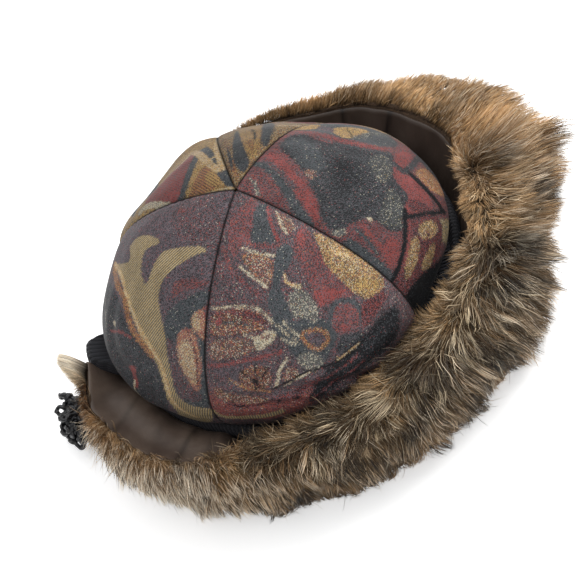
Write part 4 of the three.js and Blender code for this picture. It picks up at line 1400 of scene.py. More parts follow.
@dataclass
class KnitBand:
    """Black rib-knit band round the head opening, with its gusset at the back."""

    form: HatForm
    columns: int = 800
    rib_pitch: float = 2.75
    rib_depth: float = 0.62
    steps: int = 4  # rows of points between two corners of the section
    press: float = 6.0  # how far the folded brim presses its outer face in at the back
    follow: float = 4.5  # how far its inner lip follows the crown where that tucks in
    pressed_zone: Zone = Zone(212, 30, 4)
    followed_zone: Zone = Zone(314, 38, 4)
    squeezed: tuple = ((0.7, Zone(300, 42)), (0.75, Zone(207, 26, 4)))  # share, where
    gusset_wide: float = 6.4
    gusset_push: tuple[float, float] = (13, 0.16)  # mm out, share of its level up
    curl: float = 0.11  # how round its corners are
    # over, level; round the band's section from its inner foot
    section: tuple = (
        (-13, 0), (-6, 0), (-4.6, 9), (-1.8, 21), (3, 33), (4.4, 41), (2.4, 46.5), (-0.6, 47.4),
        (-2.2, 45.5), (-7.6, 35.7), (-13.4, 35.7), (-14, 18),
    )

    def build(self) -> list[Object]:
        """Builds the band as a closed ring of ribs.

        Returns:
            The band, alone in its list.
        """
        corners = np.array(self.section, float)
        count = len(corners)
        spot = np.linspace(0, count, count * self.steps, endpoint=False)
        k = spot.astype(int)
        share = (spot - k)[:, None]
        before, ahead, after = corners[(k - 1) % count], corners[(k + 1) % count], corners[(k + 2) % count]
        straight = corners[k] * (1 - share) + ahead * share
        bent = straight + share * (1 - share) * (ahead + corners[k] - before - after) * self.curl
        azimuth = np.linspace(0, 360, self.columns, endpoint=False)[None, :]
        over, level = bent[:, :1] + 0 * azimuth, bent[:, 1:] + 0 * azimuth
        outer = ((spot >= 2.5) & (spot <= 7.5))[:, None]
        gusset = 1.15 * Zone(self.form.gusset + 2, self.gusset_wide, 4).at(azimuth)
        squeeze = 1
        for part, zone in self.squeezed:
            squeeze = squeeze - part * zone.at(azimuth)
        over = np.where(over > 0, over * squeeze, over)
        pressed = self.press * self.pressed_zone.at(azimuth) * smoothstep(level, 6, 30)
        follow = self.follow * self.followed_zone.at(azimuth) * smoothstep(level, 20, 34)
        push, lift = self.gusset_push
        over = over - follow * (over < -5)
        over = over - pressed * (over > -3.5) + outer * gusset * push * np.minimum(1, level / 41)
        level = level + outer * gusset * lift * level
        run = np.hypot(np.diff(bent[:, 0], append=bent[0, 0]), np.diff(bent[:, 1], append=bent[0, 1]))
        length = np.concatenate([[0], np.cumsum(run)[:-1]])[:, None]
        round_it = azimuth * TURN * self.form.mean_radius / self.rib_pitch
        ribs = round(float(round_it.max() * self.columns / (self.columns - 1)))
        phase = azimuth / 360 * ribs + 0.25 * np.sin(length / 11 + azimuth / 9) * 0.4
        wave = np.abs(np.sin(phase * math.pi)) ** 0.8 - 0.7
        stitch = np.sin((length / 2.3 + 0.5 * np.abs(np.sin(phase * math.pi))) * 2 * math.pi)
        outward = self.rib_depth * (wave + 0.14 * stitch)
        slope = np.gradient(bent, axis=0)
        face = unit(np.stack([slope[:, 1], -slope[:, 0]], -1))
        over = over + face[:, :1] * outward
        level = np.maximum(level + face[:, 1:] * outward, 0.05)
        points = self.form.outline(azimuth + 0 * over, over, level)
        rows = len(spot)
        body = grid_faces(rows, self.columns, closed=True)
        join = grid_faces(2, self.columns, closed=True)
        last = (rows - 1) * self.columns
        join = np.where(join >= self.columns, join - self.columns, join + last)
        band = mesh_piece("rib_knit_band", points.reshape(-1, 3), [body, join])
        place = np.stack([phase + 0 * over, length + 0 * over, np.zeros_like(over)], -1)
        store(band, "knit", place.reshape(-1, 3))
        finish_piece(band, RibKnitFinish().build(), Slot.RIB_KNIT, "knit_band")
        return [band]


# Satin facing


@dataclass
class SatinFacing:
    """Brown satin that faces the turned-up brim on the crown's side."""

    form: HatForm
    start: float = 171.5
    span: float = 349.0
    thickness: float = 1.6
    layer_gap: float = 0.3
    puff: float = 8.0
    rise: float = 13.0  # how far it billows up at the back
    painted_shade_zone: Zone = Zone(22, 62, 4)  # where painted shade darkens it
    columns: int = 420
    rows: int = 28
    # azimuth, push, width in degrees, slant in degrees up its height
    folds: tuple = (
        (24, 3.6, 3.0, 2), (33, -2.0, 3.0, 0), (40, 3.4, 3.0, -2), (188, 1.4, 5, 14), (198, -1.0, 4, 20),
        (208, 1.2, 6, 16), (218, -1.8, 3.5, 3), (223, 1.2, 2.5, 8), (229, 1.4, 4, 10),
    )

    # azimuth, half width in degrees, height it starts at, slant in degrees, depth
    pleats: tuple = (
        (394.3, 0.8, 0.3, -3, 1.0), (407.4, 0.7, 0.35, 2, 1.0), (192, 1.2, 0.35, 20, 0.38),
        (206, 2.2, 0.1, 22, 0.2), (217.5, 1.0, 0.15, 4, 0.6), (225, 1.3, 0.45, 9, 0.35),
        (182, 2.0, 0.3, 12, 0.3),
    )

    def face(self, azimuth: ndarray, height: ndarray, away: float) -> ndarray:
        """Points of the facing's shown side, `away` mm further from the crown.

        Args:
            azimuth: azimuths in degrees.
            height: places up the facing, 0 to 1.
            away: distance towards the fur.

        Returns:
            The points.
        """
        over_level = self.form.brim_face(azimuth, height)
        over, level = over_level[..., 0], over_level[..., 1]
        loose = np.minimum(1, np.maximum(over, 0) / 8)
        puffed = smoothstep(azimuth, 174, 188) * falling(azimuth, 226, 236)
        over = over - self.puff * puffed * np.sin(math.pi * np.clip((height - 0.12) / 0.88, 0, 1)) ** 1.5
        level = level + self.rise * puffed * np.sin(math.pi * np.clip((height - 0.15) / 0.75, 0, 1)) ** 1.5
        drawn = self.form.far_side(azimuth) * height
        over, level = over - 4 * drawn, level - 5 * drawn
        for where, push, width, slant in self.folds:
            off = apart(azimuth, where + slant * height) / width
            over = over - push * np.exp(-off * off) * np.sin(math.pi * (0.15 + 0.8 * height)) * loose
        place = np.stack([azimuth * 1.9, height * 60], -1)
        tilted = place @ np.array([[1.0, 0.35], [-0.55, 1.0]])
        fine = 0.42 * ripple(tilted * (1, 0.35), 5.5, 12, 9) + 0.24 * ripple(tilted * (1, 0.3), 2.4, 13, 9)
        edge = np.sin(np.clip(height, 0, 1) * math.pi) ** 0.5
        fine = fine - 1.6 * self.pleat_lines(azimuth.ravel(), height.ravel()).reshape(azimuth.shape)
        over = over + (fine * loose + 0.25) * edge + away
        return self.form.outline(azimuth, over, level)

    def pleat_lines(self, azimuth: ndarray, height: ndarray) -> ndarray:
        """How far places lie in the line of a pleat, from 0 to 1; the facing is pushed in there and painted
        dark as shadow.

        Args:
            azimuth: azimuths in degrees.
            height: places up the facing, 0 to 1.

        Returns:
            One value a place.
        """
        total = np.zeros(len(azimuth))
        for where, wide, low, slant, depth in self.pleats:
            off = (azimuth - where - slant * (height - 0.7)) / wide
            total = np.maximum(total, depth * np.exp(-off * off) * smoothstep(height, low, low + 0.2))
        return total

    def build(self) -> list[Object]:
        """Builds the facing as a closed strip.

        Returns:
            The facing, alone in its list.
        """
        azimuth, height = np.meshgrid(
            self.start + self.span * np.linspace(0, 1, self.columns), np.linspace(0, 1, self.rows),
            indexing="ij")
        azimuth, height = azimuth.ravel(), height.ravel()
        shown = self.face(azimuth, height, self.layer_gap)
        back = self.face(azimuth, height, self.thickness - 0.2)
        count = len(shown)
        border = ring_border(self.columns, self.rows)
        ahead = np.roll(border, -1)
        rim = np.stack([border, ahead, ahead + count, border + count], -1)
        inner = grid_faces(self.columns, self.rows, start=count)
        faces = [grid_faces(self.columns, self.rows), inner[:, ::-1], rim[:, ::-1]]
        facing = mesh_piece("satin_facing", np.vstack([shown, back]), faces)
        length = azimuth * TURN * 110
        run = np.stack([length, height * 62, np.zeros_like(height)], -1)
        store(facing, "cloth", np.vstack([run, run + (0, 0, 5)]))
        # painted shade: dark on the side round azimuth 22 and towards the facing's foot by the crown
        painted_shade = 0.8 * self.painted_shade_zone.at(azimuth) + 0.5 * falling(height, 0.05, 0.35)
        store(facing, "painted_shade", np.tile(np.clip(painted_shade, 0, 1), 2))
        # painted shadow along the pleats
        store(facing, "pleat_shadow", np.tile(self.pleat_lines(azimuth, height), 2))
        finish_piece(facing, SatinFinish().build(), Slot.SATIN, "brim_lining")
        return [facing]


# Fur brim


@dataclass(frozen=True)
class HairSort:
    """One sort of hair of the coat."""

    count: int
    segments: int
    width: tuple[float, float]  # thinnest and thickest, mm
    length: tuple[float, float]  # shortest and longest, as a share of the coat's length
    rise: float  # how far it stands off the coat
    draw: float  # how far its tips draw together into locks
    fringe: float  # its length in the outer fringe, as a share of the usual


class Coat(Enum):
    """Sorts of hair in the fur."""

    UNDERFUR = HairSort(88000, 2, (0.28, 0.44), (0.5, 0.9), 1.0, 0.74, 0.62)
    GUARD = HairSort(48000, 4, (0.18, 0.34), (0.6, 1.25), 1.1, 0.84, 1.0)


@dataclass
class FurBrim:
    """Deep fur on the brim's outer side: underfur skin and five bundles of loose hair."""

    form: HatForm
    view: ViewPoint
    start: float = 172.0
    span: float = 348.0
    bundles: int = 5
    sink: float = 7.0  # how far the underfur skin lies inside the fur's form
    floor: float = 0.6
    petal_zone: Zone = Zone(171.5, 6.5, 6)  # wide cream lock
    first_end: Zone = Zone(171.5, 7, 6)
    last_end: Zone = Zone(159.5, 3.2, 4)
    cropped_zone: Zone = Zone(345, 40, 4)
    plush_zone: Zone = Zone(58, 34, 4)
    far_zone: Zone = Zone(60, 36)
    beige_zone: Zone = Zone(8, 32)
    frosted_zone: Zone = Zone(207, 26)
    golden_zone: Zone = Zone(285, 55, 4)
    crest_zone: Zone = Zone(290, 58, 4)
    rusty_zone: Zone = Zone(184, 8, 4)
    large_locks: int = 640
    small_locks: int = 5200
    knot_room: float = 15  # mm kept bare round the tuft's knot
    quick_thinning: int = 8
    skin_columns: int = 420
    skin_around: int = 34

    # azimuth, length, place of the parting, drift towards +azimuth, lean to the front, share of the rise
    comb: tuple = (
        (0, 43, 0.1, 0.0, 0.6, 1), (6, 25, 0.0, 0.0, 0.55, 1), (12, 18, -0.05, 0.0, 0.5, 1),
        (17, 22, -0.1, 0.0, 0.5, 0.9), (24, 8, -0.14, 0.0, 0.45, 0.8), (31, 13, -0.17, 0.0, 0.45, 0.8),
        (45, 16, -0.24, -0.1, 0.3, 0.7), (60, 11, -0.24, -0.2, 0.15, 0.5), (74, 7, -0.24, -0.1, 0, 0.3),
        (92, 14, -0.24, -0.1, 0, 0.2),
        (130, 14, -0.24, 0.1, 0, 0.2), (160, 13, -0.24, 0.2, 0, 0.2), (171, 36, -0.06, -0.6, 0, 1),
        (177, 15, -0.2, 0.1, 0, 0.8), (184, 8, -0.24, 0.3, 0, 0.9), (190, 12, -0.24, 0.4, 0, 0.9),
        (195, 27, -0.24, 0.4, 0, 1), (200, 24, -0.24, 0.5, 0, 1), (208, 22, -0.24, 0.55, 0, 1),
        (220, 26, -0.16, 0.5, 0, 1), (232, 17, -0.04, 0.4, 0, 1), (243, 24, 0.08, 0.35, 0, 1),
        (259, 23, 0.19, 0.15, 0, 1), (274, 20, 0.2, 0.1, 0, 1), (290, 25, 0.2, 0, 0.05, 1),
        (322, 30, 0.2, -0.1, 0.25, 1), (338, 21, 0.19, -0.05, 0.45, 1), (352, 27, 0.15, 0.0, 0.6, 1),
    )

    # azimuth, half width in degrees, share cut away of the fringe's length
    notches: tuple = ((252, 6, 0.5), (302, 5, 0.3))
    petal_reach: tuple = (1, 11, 33)  # where the wide cream lock at its open end points, mm
    # azimuth, share of frosted and dark tips in the outer fringe
    fringe: tuple = (
        (0, 0.5), (26, 0.2), (42, 0), (168, 0), (182, 0.6), (192, 1), (232, 1), (246, 0.7), (270, 0.6),
        (335, 0.5),
    )

    # azimuth, painted light and shade: how much lighter or darker the hairs are painted there
    painted_light_by_azimuth: tuple = (
        (5, 0.14), (30, 0.2), (60, 0.13), (170, 0.05), (205, 0.2), (225, 0.04), (250, -0.34), (300, -0.28),
        (325, -0.19), (345, -0.14),
    )

    def placed(self, azimuth: ndarray, place: ndarray, deep: ndarray) -> ndarray:
        """Points a depth inside the fur's outer form.

        Args:
            azimuth: where round the hat.
            place: where over the fur, from its lip (0) to its foot (1).
            deep: depth below the outer form, mm.

        Returns:
            Over and level of each point.
        """
        spot = self.form.fur_face(azimuth, place)
        middle = self.form.brim_face(azimuth, np.full(len(azimuth), 0.55))
        spot = spot + unit(middle - spot) * (deep + 3 * self.form.far_side(azimuth))[:, None]
        spot = spot - self.form.far_side(azimuth)[:, None] * (3.5, 4.5)
        spot[:, 1] = np.maximum(spot[:, 1], 0.9)
        return spot

    def underlayer(self, finish: Material) -> Object:
        """Builds the underfur skin, from behind the facing round the fur's form and back.

        Args:
            finish: its material.

        Returns:
            The underfur skin.
        """
        columns, around = self.skin_columns, self.skin_around
        azimuth = self.start + self.span * np.linspace(0, 1, columns)
        rings = []
        for place in np.linspace(0, 1, around):
            deep = self.sink * math.sin(math.pi * min(1, 0.12 + place * 0.88)) + 0.4
            spot = self.placed(azimuth, np.full(columns, place), np.full(columns, deep))
            rings.append(self.form.outline(azimuth, spot[:, 0], spot[:, 1]))
        for height in np.linspace(0.02, 0.97, 8):
            over, level = self.form.brim_face(azimuth, np.full(columns, height)).T
            drawn = self.form.far_side(azimuth) * height
            rings.append(self.form.outline(azimuth, over + 2.2 - 3.5 * drawn, level - 4.5 * drawn))
        rings = np.array(rings)
        rows = len(rings)
        bumps = ripple(rings.reshape(-1, 3), 9, 77, 9).reshape(rows, columns)
        rings[2:around - 1] += unit(rings[2:around - 1] * (1, 1, 0)) * bumps[2:around - 1, :, None] * 0.9
        points = rings.reshape(-1, 3)
        body = grid_faces(rows, columns)
        first = np.arange(columns - 1)
        last = first + (rows - 1) * columns
        closing = np.stack([last, last + 1, first + 1, first], -1)
        caps = [(np.arange(rows) * columns)[None, :], (np.arange(rows) * columns + columns - 1)[None, ::-1]]
        base = mesh_piece("fur_underlayer", points, [body, closing, *caps])
        store(base, "coat", points)
        finish_piece(base, finish, Slot.FUR, "fur_brim")
        return base

    def roots(self, sort: HairSort, random: Generator) -> tuple[ndarray, ndarray]:
        """Where hairs grow, more of them where the fur is deep.

        Args:
            sort: the sort of hair.
            random: seeded random numbers.

        Returns:
            Azimuths, and places over the fur from its lip (0) to its foot (1).
        """
        count = sort.count // 1
        azimuth = self.start + self.span * random.uniform(0.001, 0.999, count * 3)
        place = random.beta(1.0, 1.3, count * 3)
        length = round_the_hat(self.comb, 1, azimuth)
        keep = random.uniform(0, 1, count * 3) < np.clip((length + 8) / 44, 0.4, 1)
        knot = self.form.outline(*np.array(self.form.knot))
        spot = self.form.fur_face(azimuth, place)
        away = self.form.outline(azimuth, spot[:, 0], spot[:, 1]) - knot
        clear = np.linalg.norm(away, axis=1) > self.knot_room
        bare = (np.abs(apart(azimuth, 159)) < 5) & (place < 0.36)
        chosen = np.flatnonzero(keep & clear & ~bare)[:count]
        return azimuth[chosen], place[chosen]

    def strands(self, sort: HairSort, random: Generator) -> dict[str, ndarray]:
        """Centre lines of one sort of hair with what their finish needs.

        Args:
            sort: the sort of hair.
            random: seeded random numbers.

        Returns:
            Arrays by name, one row a hair.
        """
        azimuth, place = self.roots(sort, random)
        count = len(azimuth)
        coat, parting, drift, forward, raised = (round_the_hat(self.comb, k, azimuth) for k in range(1, 6))
        deep = np.minimum(11, 0.34 * coat) * np.sin(math.pi * np.clip(0.16 + place * 0.8, 0, 1))
        spot = self.placed(azimuth, place, deep + 0.5)
        root = self.form.outline(azimuth, spot[:, 0], spot[:, 1])

        before = self.form.fur_face(azimuth, np.clip(place - 0.07, 0, 1))
        after = self.form.fur_face(azimuth, np.clip(place + 0.07, 0, 1))
        slope = unit(after - before)
        angle = azimuth * TURN
        wide, long = self.form.half_width, self.form.half_length
        radial = unit(np.stack([np.sin(angle) / wide, -np.cos(angle) / long, 0 * angle], -1))
        side = np.stack([-radial[:, 1], radial[:, 0], 0 * angle], -1)
        up = np.array([0.0, 0.0, 1.0])
        down_slope = radial * slope[:, :1] + up * slope[:, 1:]
        normal = -radial * slope[:, 1:] + up * slope[:, :1]

        cloth = np.stack([azimuth * 1.9, place * 95], -1)
        past = (place - parting + 0.025 * ripple(cloth, 16, 4)) / 0.1
        cropped = self.cropped_zone.at(azimuth) * falling(place, 0.02, 0.24)
        flow = np.where(past > 0, np.tanh(past), (0.55 - 0.55 * cropped) * np.tanh(past))
        plush = self.plush_zone.at(azimuth)
        fringe = round_the_hat(self.fringe, 1, azimuth)
        rim = smoothstep(place, 0.24, 0.55) * fringe
        astray = random.uniform(0, 1, count) > 0.94
        petal = self.petal_zone.at(azimuth) * falling(place, 0.4, 0.56)
        calm = 1 - 0.88 * petal
        ridge = np.exp(-past * past) * smoothstep(parting, 0.08, 0.16)
        across = drift * np.clip(past, 0, 1) - 0.75 * ridge + (0.36 - 0.2 * plush) * ripple(cloth, 14, 6)
        across = across + calm * random.normal(0, 1, count) * np.where(astray, 0.7, 0.16)
        flow = flow + (0.3 - 0.15 * plush) * ripple(cloth, 15, 5)
        flow = flow + calm * random.normal(0, 1, count) * np.where(astray, 0.4, 0.14)
        lay = down_slope * flow[:, None] + side * across[:, None]
        ahead = np.array([0.0, -1.0, 0.0]) + 0.15 * up
        lay = lay + (ahead - lay) * (forward * np.clip(past, 0, 1))[:, None]
        flat = 1 - 0.66 * np.clip(past, 0, 1) * smoothstep(-parting, 0.0, 0.2) * falling(place, 0.1, 0.4)
        stand = (sort.rise * raised * flat * (1 + 0.24 * random.normal(0, 1, count)).clip(0.3))[:, None]
        first = unit(normal * stand + lay * 0.95)
        second = unit(normal * 0.28 * stand + lay - up * 0.22)
        share = np.linspace(0, 1, sort.segments + 1)[None, :, None]
        over_place = np.interp(place, (0, 0.1, 0.5, 0.75, 1), (0.72, 0.85, 1.0, 0.8, 0.6))
        over_place = over_place * (1 - 0.7 * cropped) * (1 - (1 - sort.fringe) * rim)
        over_place = over_place * (1 - 0.85 * self.form.far_side(azimuth) * falling(place, 0.15, 0.5))
        for where, wide, cut in self.notches:
            notch = Zone(where, wide).at(azimuth) * smoothstep(place, 0.2, 0.42)
            over_place = over_place * (1 - cut * notch)
        uneven = 1 + (0.14 - 0.1 * plush) * ripple(cloth, 7, 9)
        spread = random.uniform(*sort.length, count)
        spread = spread + (0.95 - spread) * 0.7 * petal
        length = (coat * over_place * uneven * spread + 3 * raised)[:, None, None]
        turned = share ** 2 / 2
        lines = root[:, None] + length * ((share - turned) * first[:, None] + turned * second[:, None])
        curl = unit(random.normal(0, 1, (count, 3)))[:, None]
        wild = calm * (1 + 0.9 * astray + 0.5 * (1 - plush) * falling(place, 0.25, 0.5))
        bend = 0.09 * share ** 1.5 + 0.045 * np.sin(7 * share + 6 * curl[..., :1]) * share
        lines += curl * length * wild[:, None, None] * bend
        held = (1 - 0.75 * plush) * np.where(astray, 0.15, 1) * (1 - 0.5 * petal)
        loose = (held * (0.5 + 0.5 * smoothstep(place, 0.2, 0.5)))[:, None, None]
        firm = sort.draw * held[:, None, None] * 0.9
        lines = self.gathered(lines, root, petal * (place < 0.5), share)
        lines, leader = self.locked(lines, root, random, self.large_locks, sort.draw * loose, share)
        lines, small = self.locked(lines, root, random, self.small_locks, firm, share)
        low = self.floor + 0.8 * random.uniform(0, 1, (count, 1))
        lines[:, :, 2] = np.maximum(lines[:, :, 2], low)
        bundle = ((azimuth - self.start) / self.span * self.bundles).astype(int).clip(0, self.bundles - 1)
        hair = {"lines": lines, "bundle": bundle, "wide": random.uniform(*sort.width, count)}
        chance = random.normal(0, 1, (count, 3))
        locks = (chance[leader], chance[small])
        tip = lines[:, -1]
        out = np.hypot(tip[:, 0] / self.form.half_width, tip[:, 1] / self.form.half_length) - 1
        beyond = out * self.form.mean_radius - round_the_hat(self.form.fur, 1, azimuth)
        beyond = beyond - np.interp(fringe, (0.5, 1), (5, -3))
        edge = smoothstep(beyond, 0, 7) * fringe
        return hair | self.colours(azimuth, place, past, root, locks, edge, astray, random)

    def colours(self, azimuth: ndarray, place: ndarray, past: ndarray, root: ndarray,
                locks: tuple[ndarray, ndarray], fringe: ndarray, astray: ndarray,
                random: Generator) -> dict[str, ndarray]:
        """Shares of the coat's colours in each hair.

        Args:
            azimuth: the hairs' azimuths.
            place: their places over the fur.
            past: how far outside the parting they grow, negative inside it.
            root: their roots.
            locks: three chances of each hair's large lock, and three of its small one.
            fringe: how far each hair belongs to the frosted fringe.
            astray: whether each hair lies astray.
            random: seeded random numbers.

        Returns:
            Shares by the names that the finish reads.
        """
        count = len(azimuth)
        lock, tuft = locks
        patch, fleck = ripple(root, 22, 31), ripple(root, 8, 32)
        inside = smoothstep(-past, -0.6, 0.8)
        rim = smoothstep(place, 0.25, 0.6)
        far_side = self.far_zone.at(azimuth)
        beige = self.beige_zone.at(azimuth) * falling(place, 0.2, 0.5)
        frost = self.frosted_zone.at(azimuth) * (0.15 + 0.85 * fringe)
        golden = 0.4 + 0.2 * inside + 0.2 * patch + 0.25 * far_side + 0.3 * beige
        golden = golden + 0.14 * self.golden_zone.at(azimuth)
        golden = golden + 0.14 * lock[:, 0] + 0.14 * tuft[:, 0] + random.normal(0, 0.05, count)
        dark = 0.34 + 0.34 * fleck + 0.2 * tuft[:, 1] - 0.3 * patch - 0.4 * inside - 0.5 * far_side
        dark = dark - 0.6 * beige + 0.16 * lock[:, 1] + random.normal(0, 0.08, count)
        grey = 0.02 + 0.08 * rim + 0.7 * frost + 0.16 * beige - 0.4 * inside - 0.2 * patch - 0.2 * far_side
        grey = grey - 0.25 * tuft[:, 1] + random.normal(0, 0.14, count)
        end = self.last_end.at(azimuth)
        end = np.maximum(end, self.first_end.at(azimuth) * falling(place, 0.4, 0.56))
        crest = np.exp(-((past - 0.7) / 1.7) ** 2) * self.crest_zone.at(azimuth)
        pale = random.uniform(0, 1, count) ** 14 * 0.8 + 1.4 * end
        lit = (random.uniform(0, 1, count) > 0.94) | astray | (tuft[:, 0] > 1.25)
        pale = pale + 0.8 * crest * lit
        chance = 0.6 * random.uniform(0, 1, count) + 0.4 * smoothstep(tuft[:, 1], -1.2, 1.2)
        frosted, blackened = chance < 0.52 * fringe, (chance > 0.52) & (chance < 0.52 + 0.36 * fringe)
        pale = np.where(frosted, np.maximum(pale, 0.1), pale * (1 - 0.8 * blackened))
        dark = np.where(blackened, np.maximum(dark, 0.9), dark * (1 - frosted) * (1 - 0.8 * crest * lit))
        grey = np.where(frosted, 0.5 + 0.5 * frost, grey * (1 - 0.8 * blackened))
        rusty = self.rusty_zone.at(azimuth) * falling(place, 0.3, 0.5) * (1 - end) * 0.8
        grey = np.maximum(grey * (1 - rusty), end)
        shares = {"tone": golden, "dark": dark * (1 - end), "grey": grey, "pale": pale}
        shares = {name: np.clip(values, 0, 1) for name, values in shares.items()}
        strand = 0.52 + random.normal(0, 0.06, count) + 0.2 * tuft[:, 2] + 0.17 * lock[:, 2] - 0.16 * crest
        # painted light and shade by azimuth
        strand = strand + round_the_hat(self.painted_light_by_azimuth, 1, azimuth) + 0.12 * rim - 0.06 + 0.1 * inside
        strand = strand + 0.1 * frost + 0.3 * crest * lit + 0.08 * patch + 0.3 * beige + 0.3 * end
        strand = np.clip(np.where(frosted, np.maximum(strand, 0.66 + 0.14 * fringe), strand), 0, 1)
        return shares | {"strand": strand, "rusty": rusty}

    def gathered(self, lines: ndarray, root: ndarray, weight: ndarray,
                 share: ndarray) -> ndarray:
        """Hairs of one wide lock laid side by side and drawn together towards their tips.

        Args:
            lines: centre lines of the hairs.
            root: their roots.
            weight: how far each hair belongs to the lock.
            share: share of the length at each point.

        Returns:
            The new centre lines.
        """
        middle = np.average(root, axis=0, weights=weight + 1e-9)
        reach = np.array(self.petal_reach) * share ** 0.85 - (0, 0, 5) * share ** 3
        side_by_side = middle + reach + (root - middle)[:, None] * (1 - 0.35 * share ** 2)
        pull = 0.88 * weight[:, None, None]
        return lines * (1 - pull) + side_by_side * pull

    def locked(self, lines: ndarray, root: ndarray, random: Generator, locks: int,
               strength: float | ndarray, share: ndarray) -> tuple[ndarray, ndarray]:
        """Hairs drawn together into locks towards their tips.

        Args:
            lines: centre lines of the hairs.
            root: their roots.
            random: seeded random numbers.
            locks: how many locks there are.
            strength: how far tips draw together, one value or one a hair.
            share: share of the length at each point.

        Returns:
            The new centre lines, and the number of each hair's leader.
        """
        leaders = random.choice(len(lines), min(locks, len(lines) // 3), replace=False)
        tree = KDTree(len(leaders))
        for number, leader in enumerate(leaders):
            tree.insert(root[leader], number)
        tree.balance()
        nearest = np.array([tree.find(point)[1] for point in root])
        leader = leaders[nearest]
        spread = random.uniform(0.35, 1, (len(lines), 1, 1))
        pull = strength * share ** 1.3 * spread
        guide = lines[leader] + (root - root[leader])[:, None] * 0.2
        return lines * (1 - pull) + guide * pull, leader

    def ribbons(self, hair: dict[str, ndarray], number: int,
                random: Generator) -> tuple[ndarray, list[ndarray], dict[str, ndarray]]:
        """Narrow ribbons, each tapering to a point, along one bundle's centre lines.

        Args:
            hair: arrays of one sort of hair.
            number: the bundle's number, from 0.
            random: seeded random numbers.

        Returns:
            Points, quads and triangles, and values at the points by name.
        """
        chosen = hair["bundle"] == number
        lines = hair["lines"][chosen]
        count, steps = len(lines), lines.shape[1] - 1
        sight = unit(self.view.place() - lines)
        along = np.gradient(lines, axis=1)
        side = unit(np.cross(along, sight))
        other = unit(np.cross(along, side))
        roll = random.uniform(-0.9, 0.9, count)[:, None, None]
        side = side * np.cos(roll) + other * np.sin(roll)
        share = np.linspace(0, 1, steps + 1)
        shape = (0.7 + 0.3 * np.sin(math.pi * share))[None, :, None]
        half = side * shape * hair["wide"][chosen][:, None, None] / 2
        pairs = np.stack([lines[:, :-1] - half[:, :-1], lines[:, :-1] + half[:, :-1]], 2)
        points = np.concatenate([pairs.reshape(count, 2 * steps, 3), lines[:, -1:]], 1)
        each = 2 * steps + 1
        quads = np.array([(2 * k, 2 * k + 1, 2 * k + 3, 2 * k + 2) for k in range(steps - 1)])
        tip = np.array([(2 * steps - 2, 2 * steps - 1, 2 * steps)])
        first = (np.arange(count) * each)[:, None, None]
        values = {name: np.repeat(hair[name][chosen], each) for name in FurFinish.reads}
        values["along"] = np.tile(np.append(np.repeat(share[:-1], 2), 1.0), count)
        return points.reshape(-1, 3), [(first + quads).reshape(-1, 4), (first + tip).reshape(-1, 3)], values

    def bundle(self, number: int, coat: list[dict[str, ndarray]], finish: Material,
               random: Generator) -> Object:
        """Builds one bundle with every sort of hair.

        Args:
            number: the bundle's number, from 0.
            coat: arrays of each sort of hair.
            finish: their material.
            random: seeded random numbers.

        Returns:
            The bundle.
        """
        points, faces, values, count = [], [], [], 0
        for hair in coat:
            some, sides, read = self.ribbons(hair, number, random)
            points.append(some)
            faces += [part + count for part in sides]
            values.append(read)
            count += len(some)
        piece = mesh_piece(f"fur_hair_{number + 1}", np.vstack(points), faces)
        for name in values[0]:
            store(piece, name, np.concatenate([part[name] for part in values]))
        finish_piece(piece, finish, Slot.FUR)
        return piece

    def build(self) -> list[Object]:
        """Builds the underfur skin and the hair.

        Returns:
            The skin and the bundles of hair.
        """
        random = np.random.default_rng(SEED)
        skin = self.underlayer(PeltFinish().build())
        coat = [self.strands(sort.value, random) for sort in Coat]
        finish = FurFinish().build()
        return [skin] + [self.bundle(number, coat, finish, random) for number in range(self.bundles)]


# Nape tuft


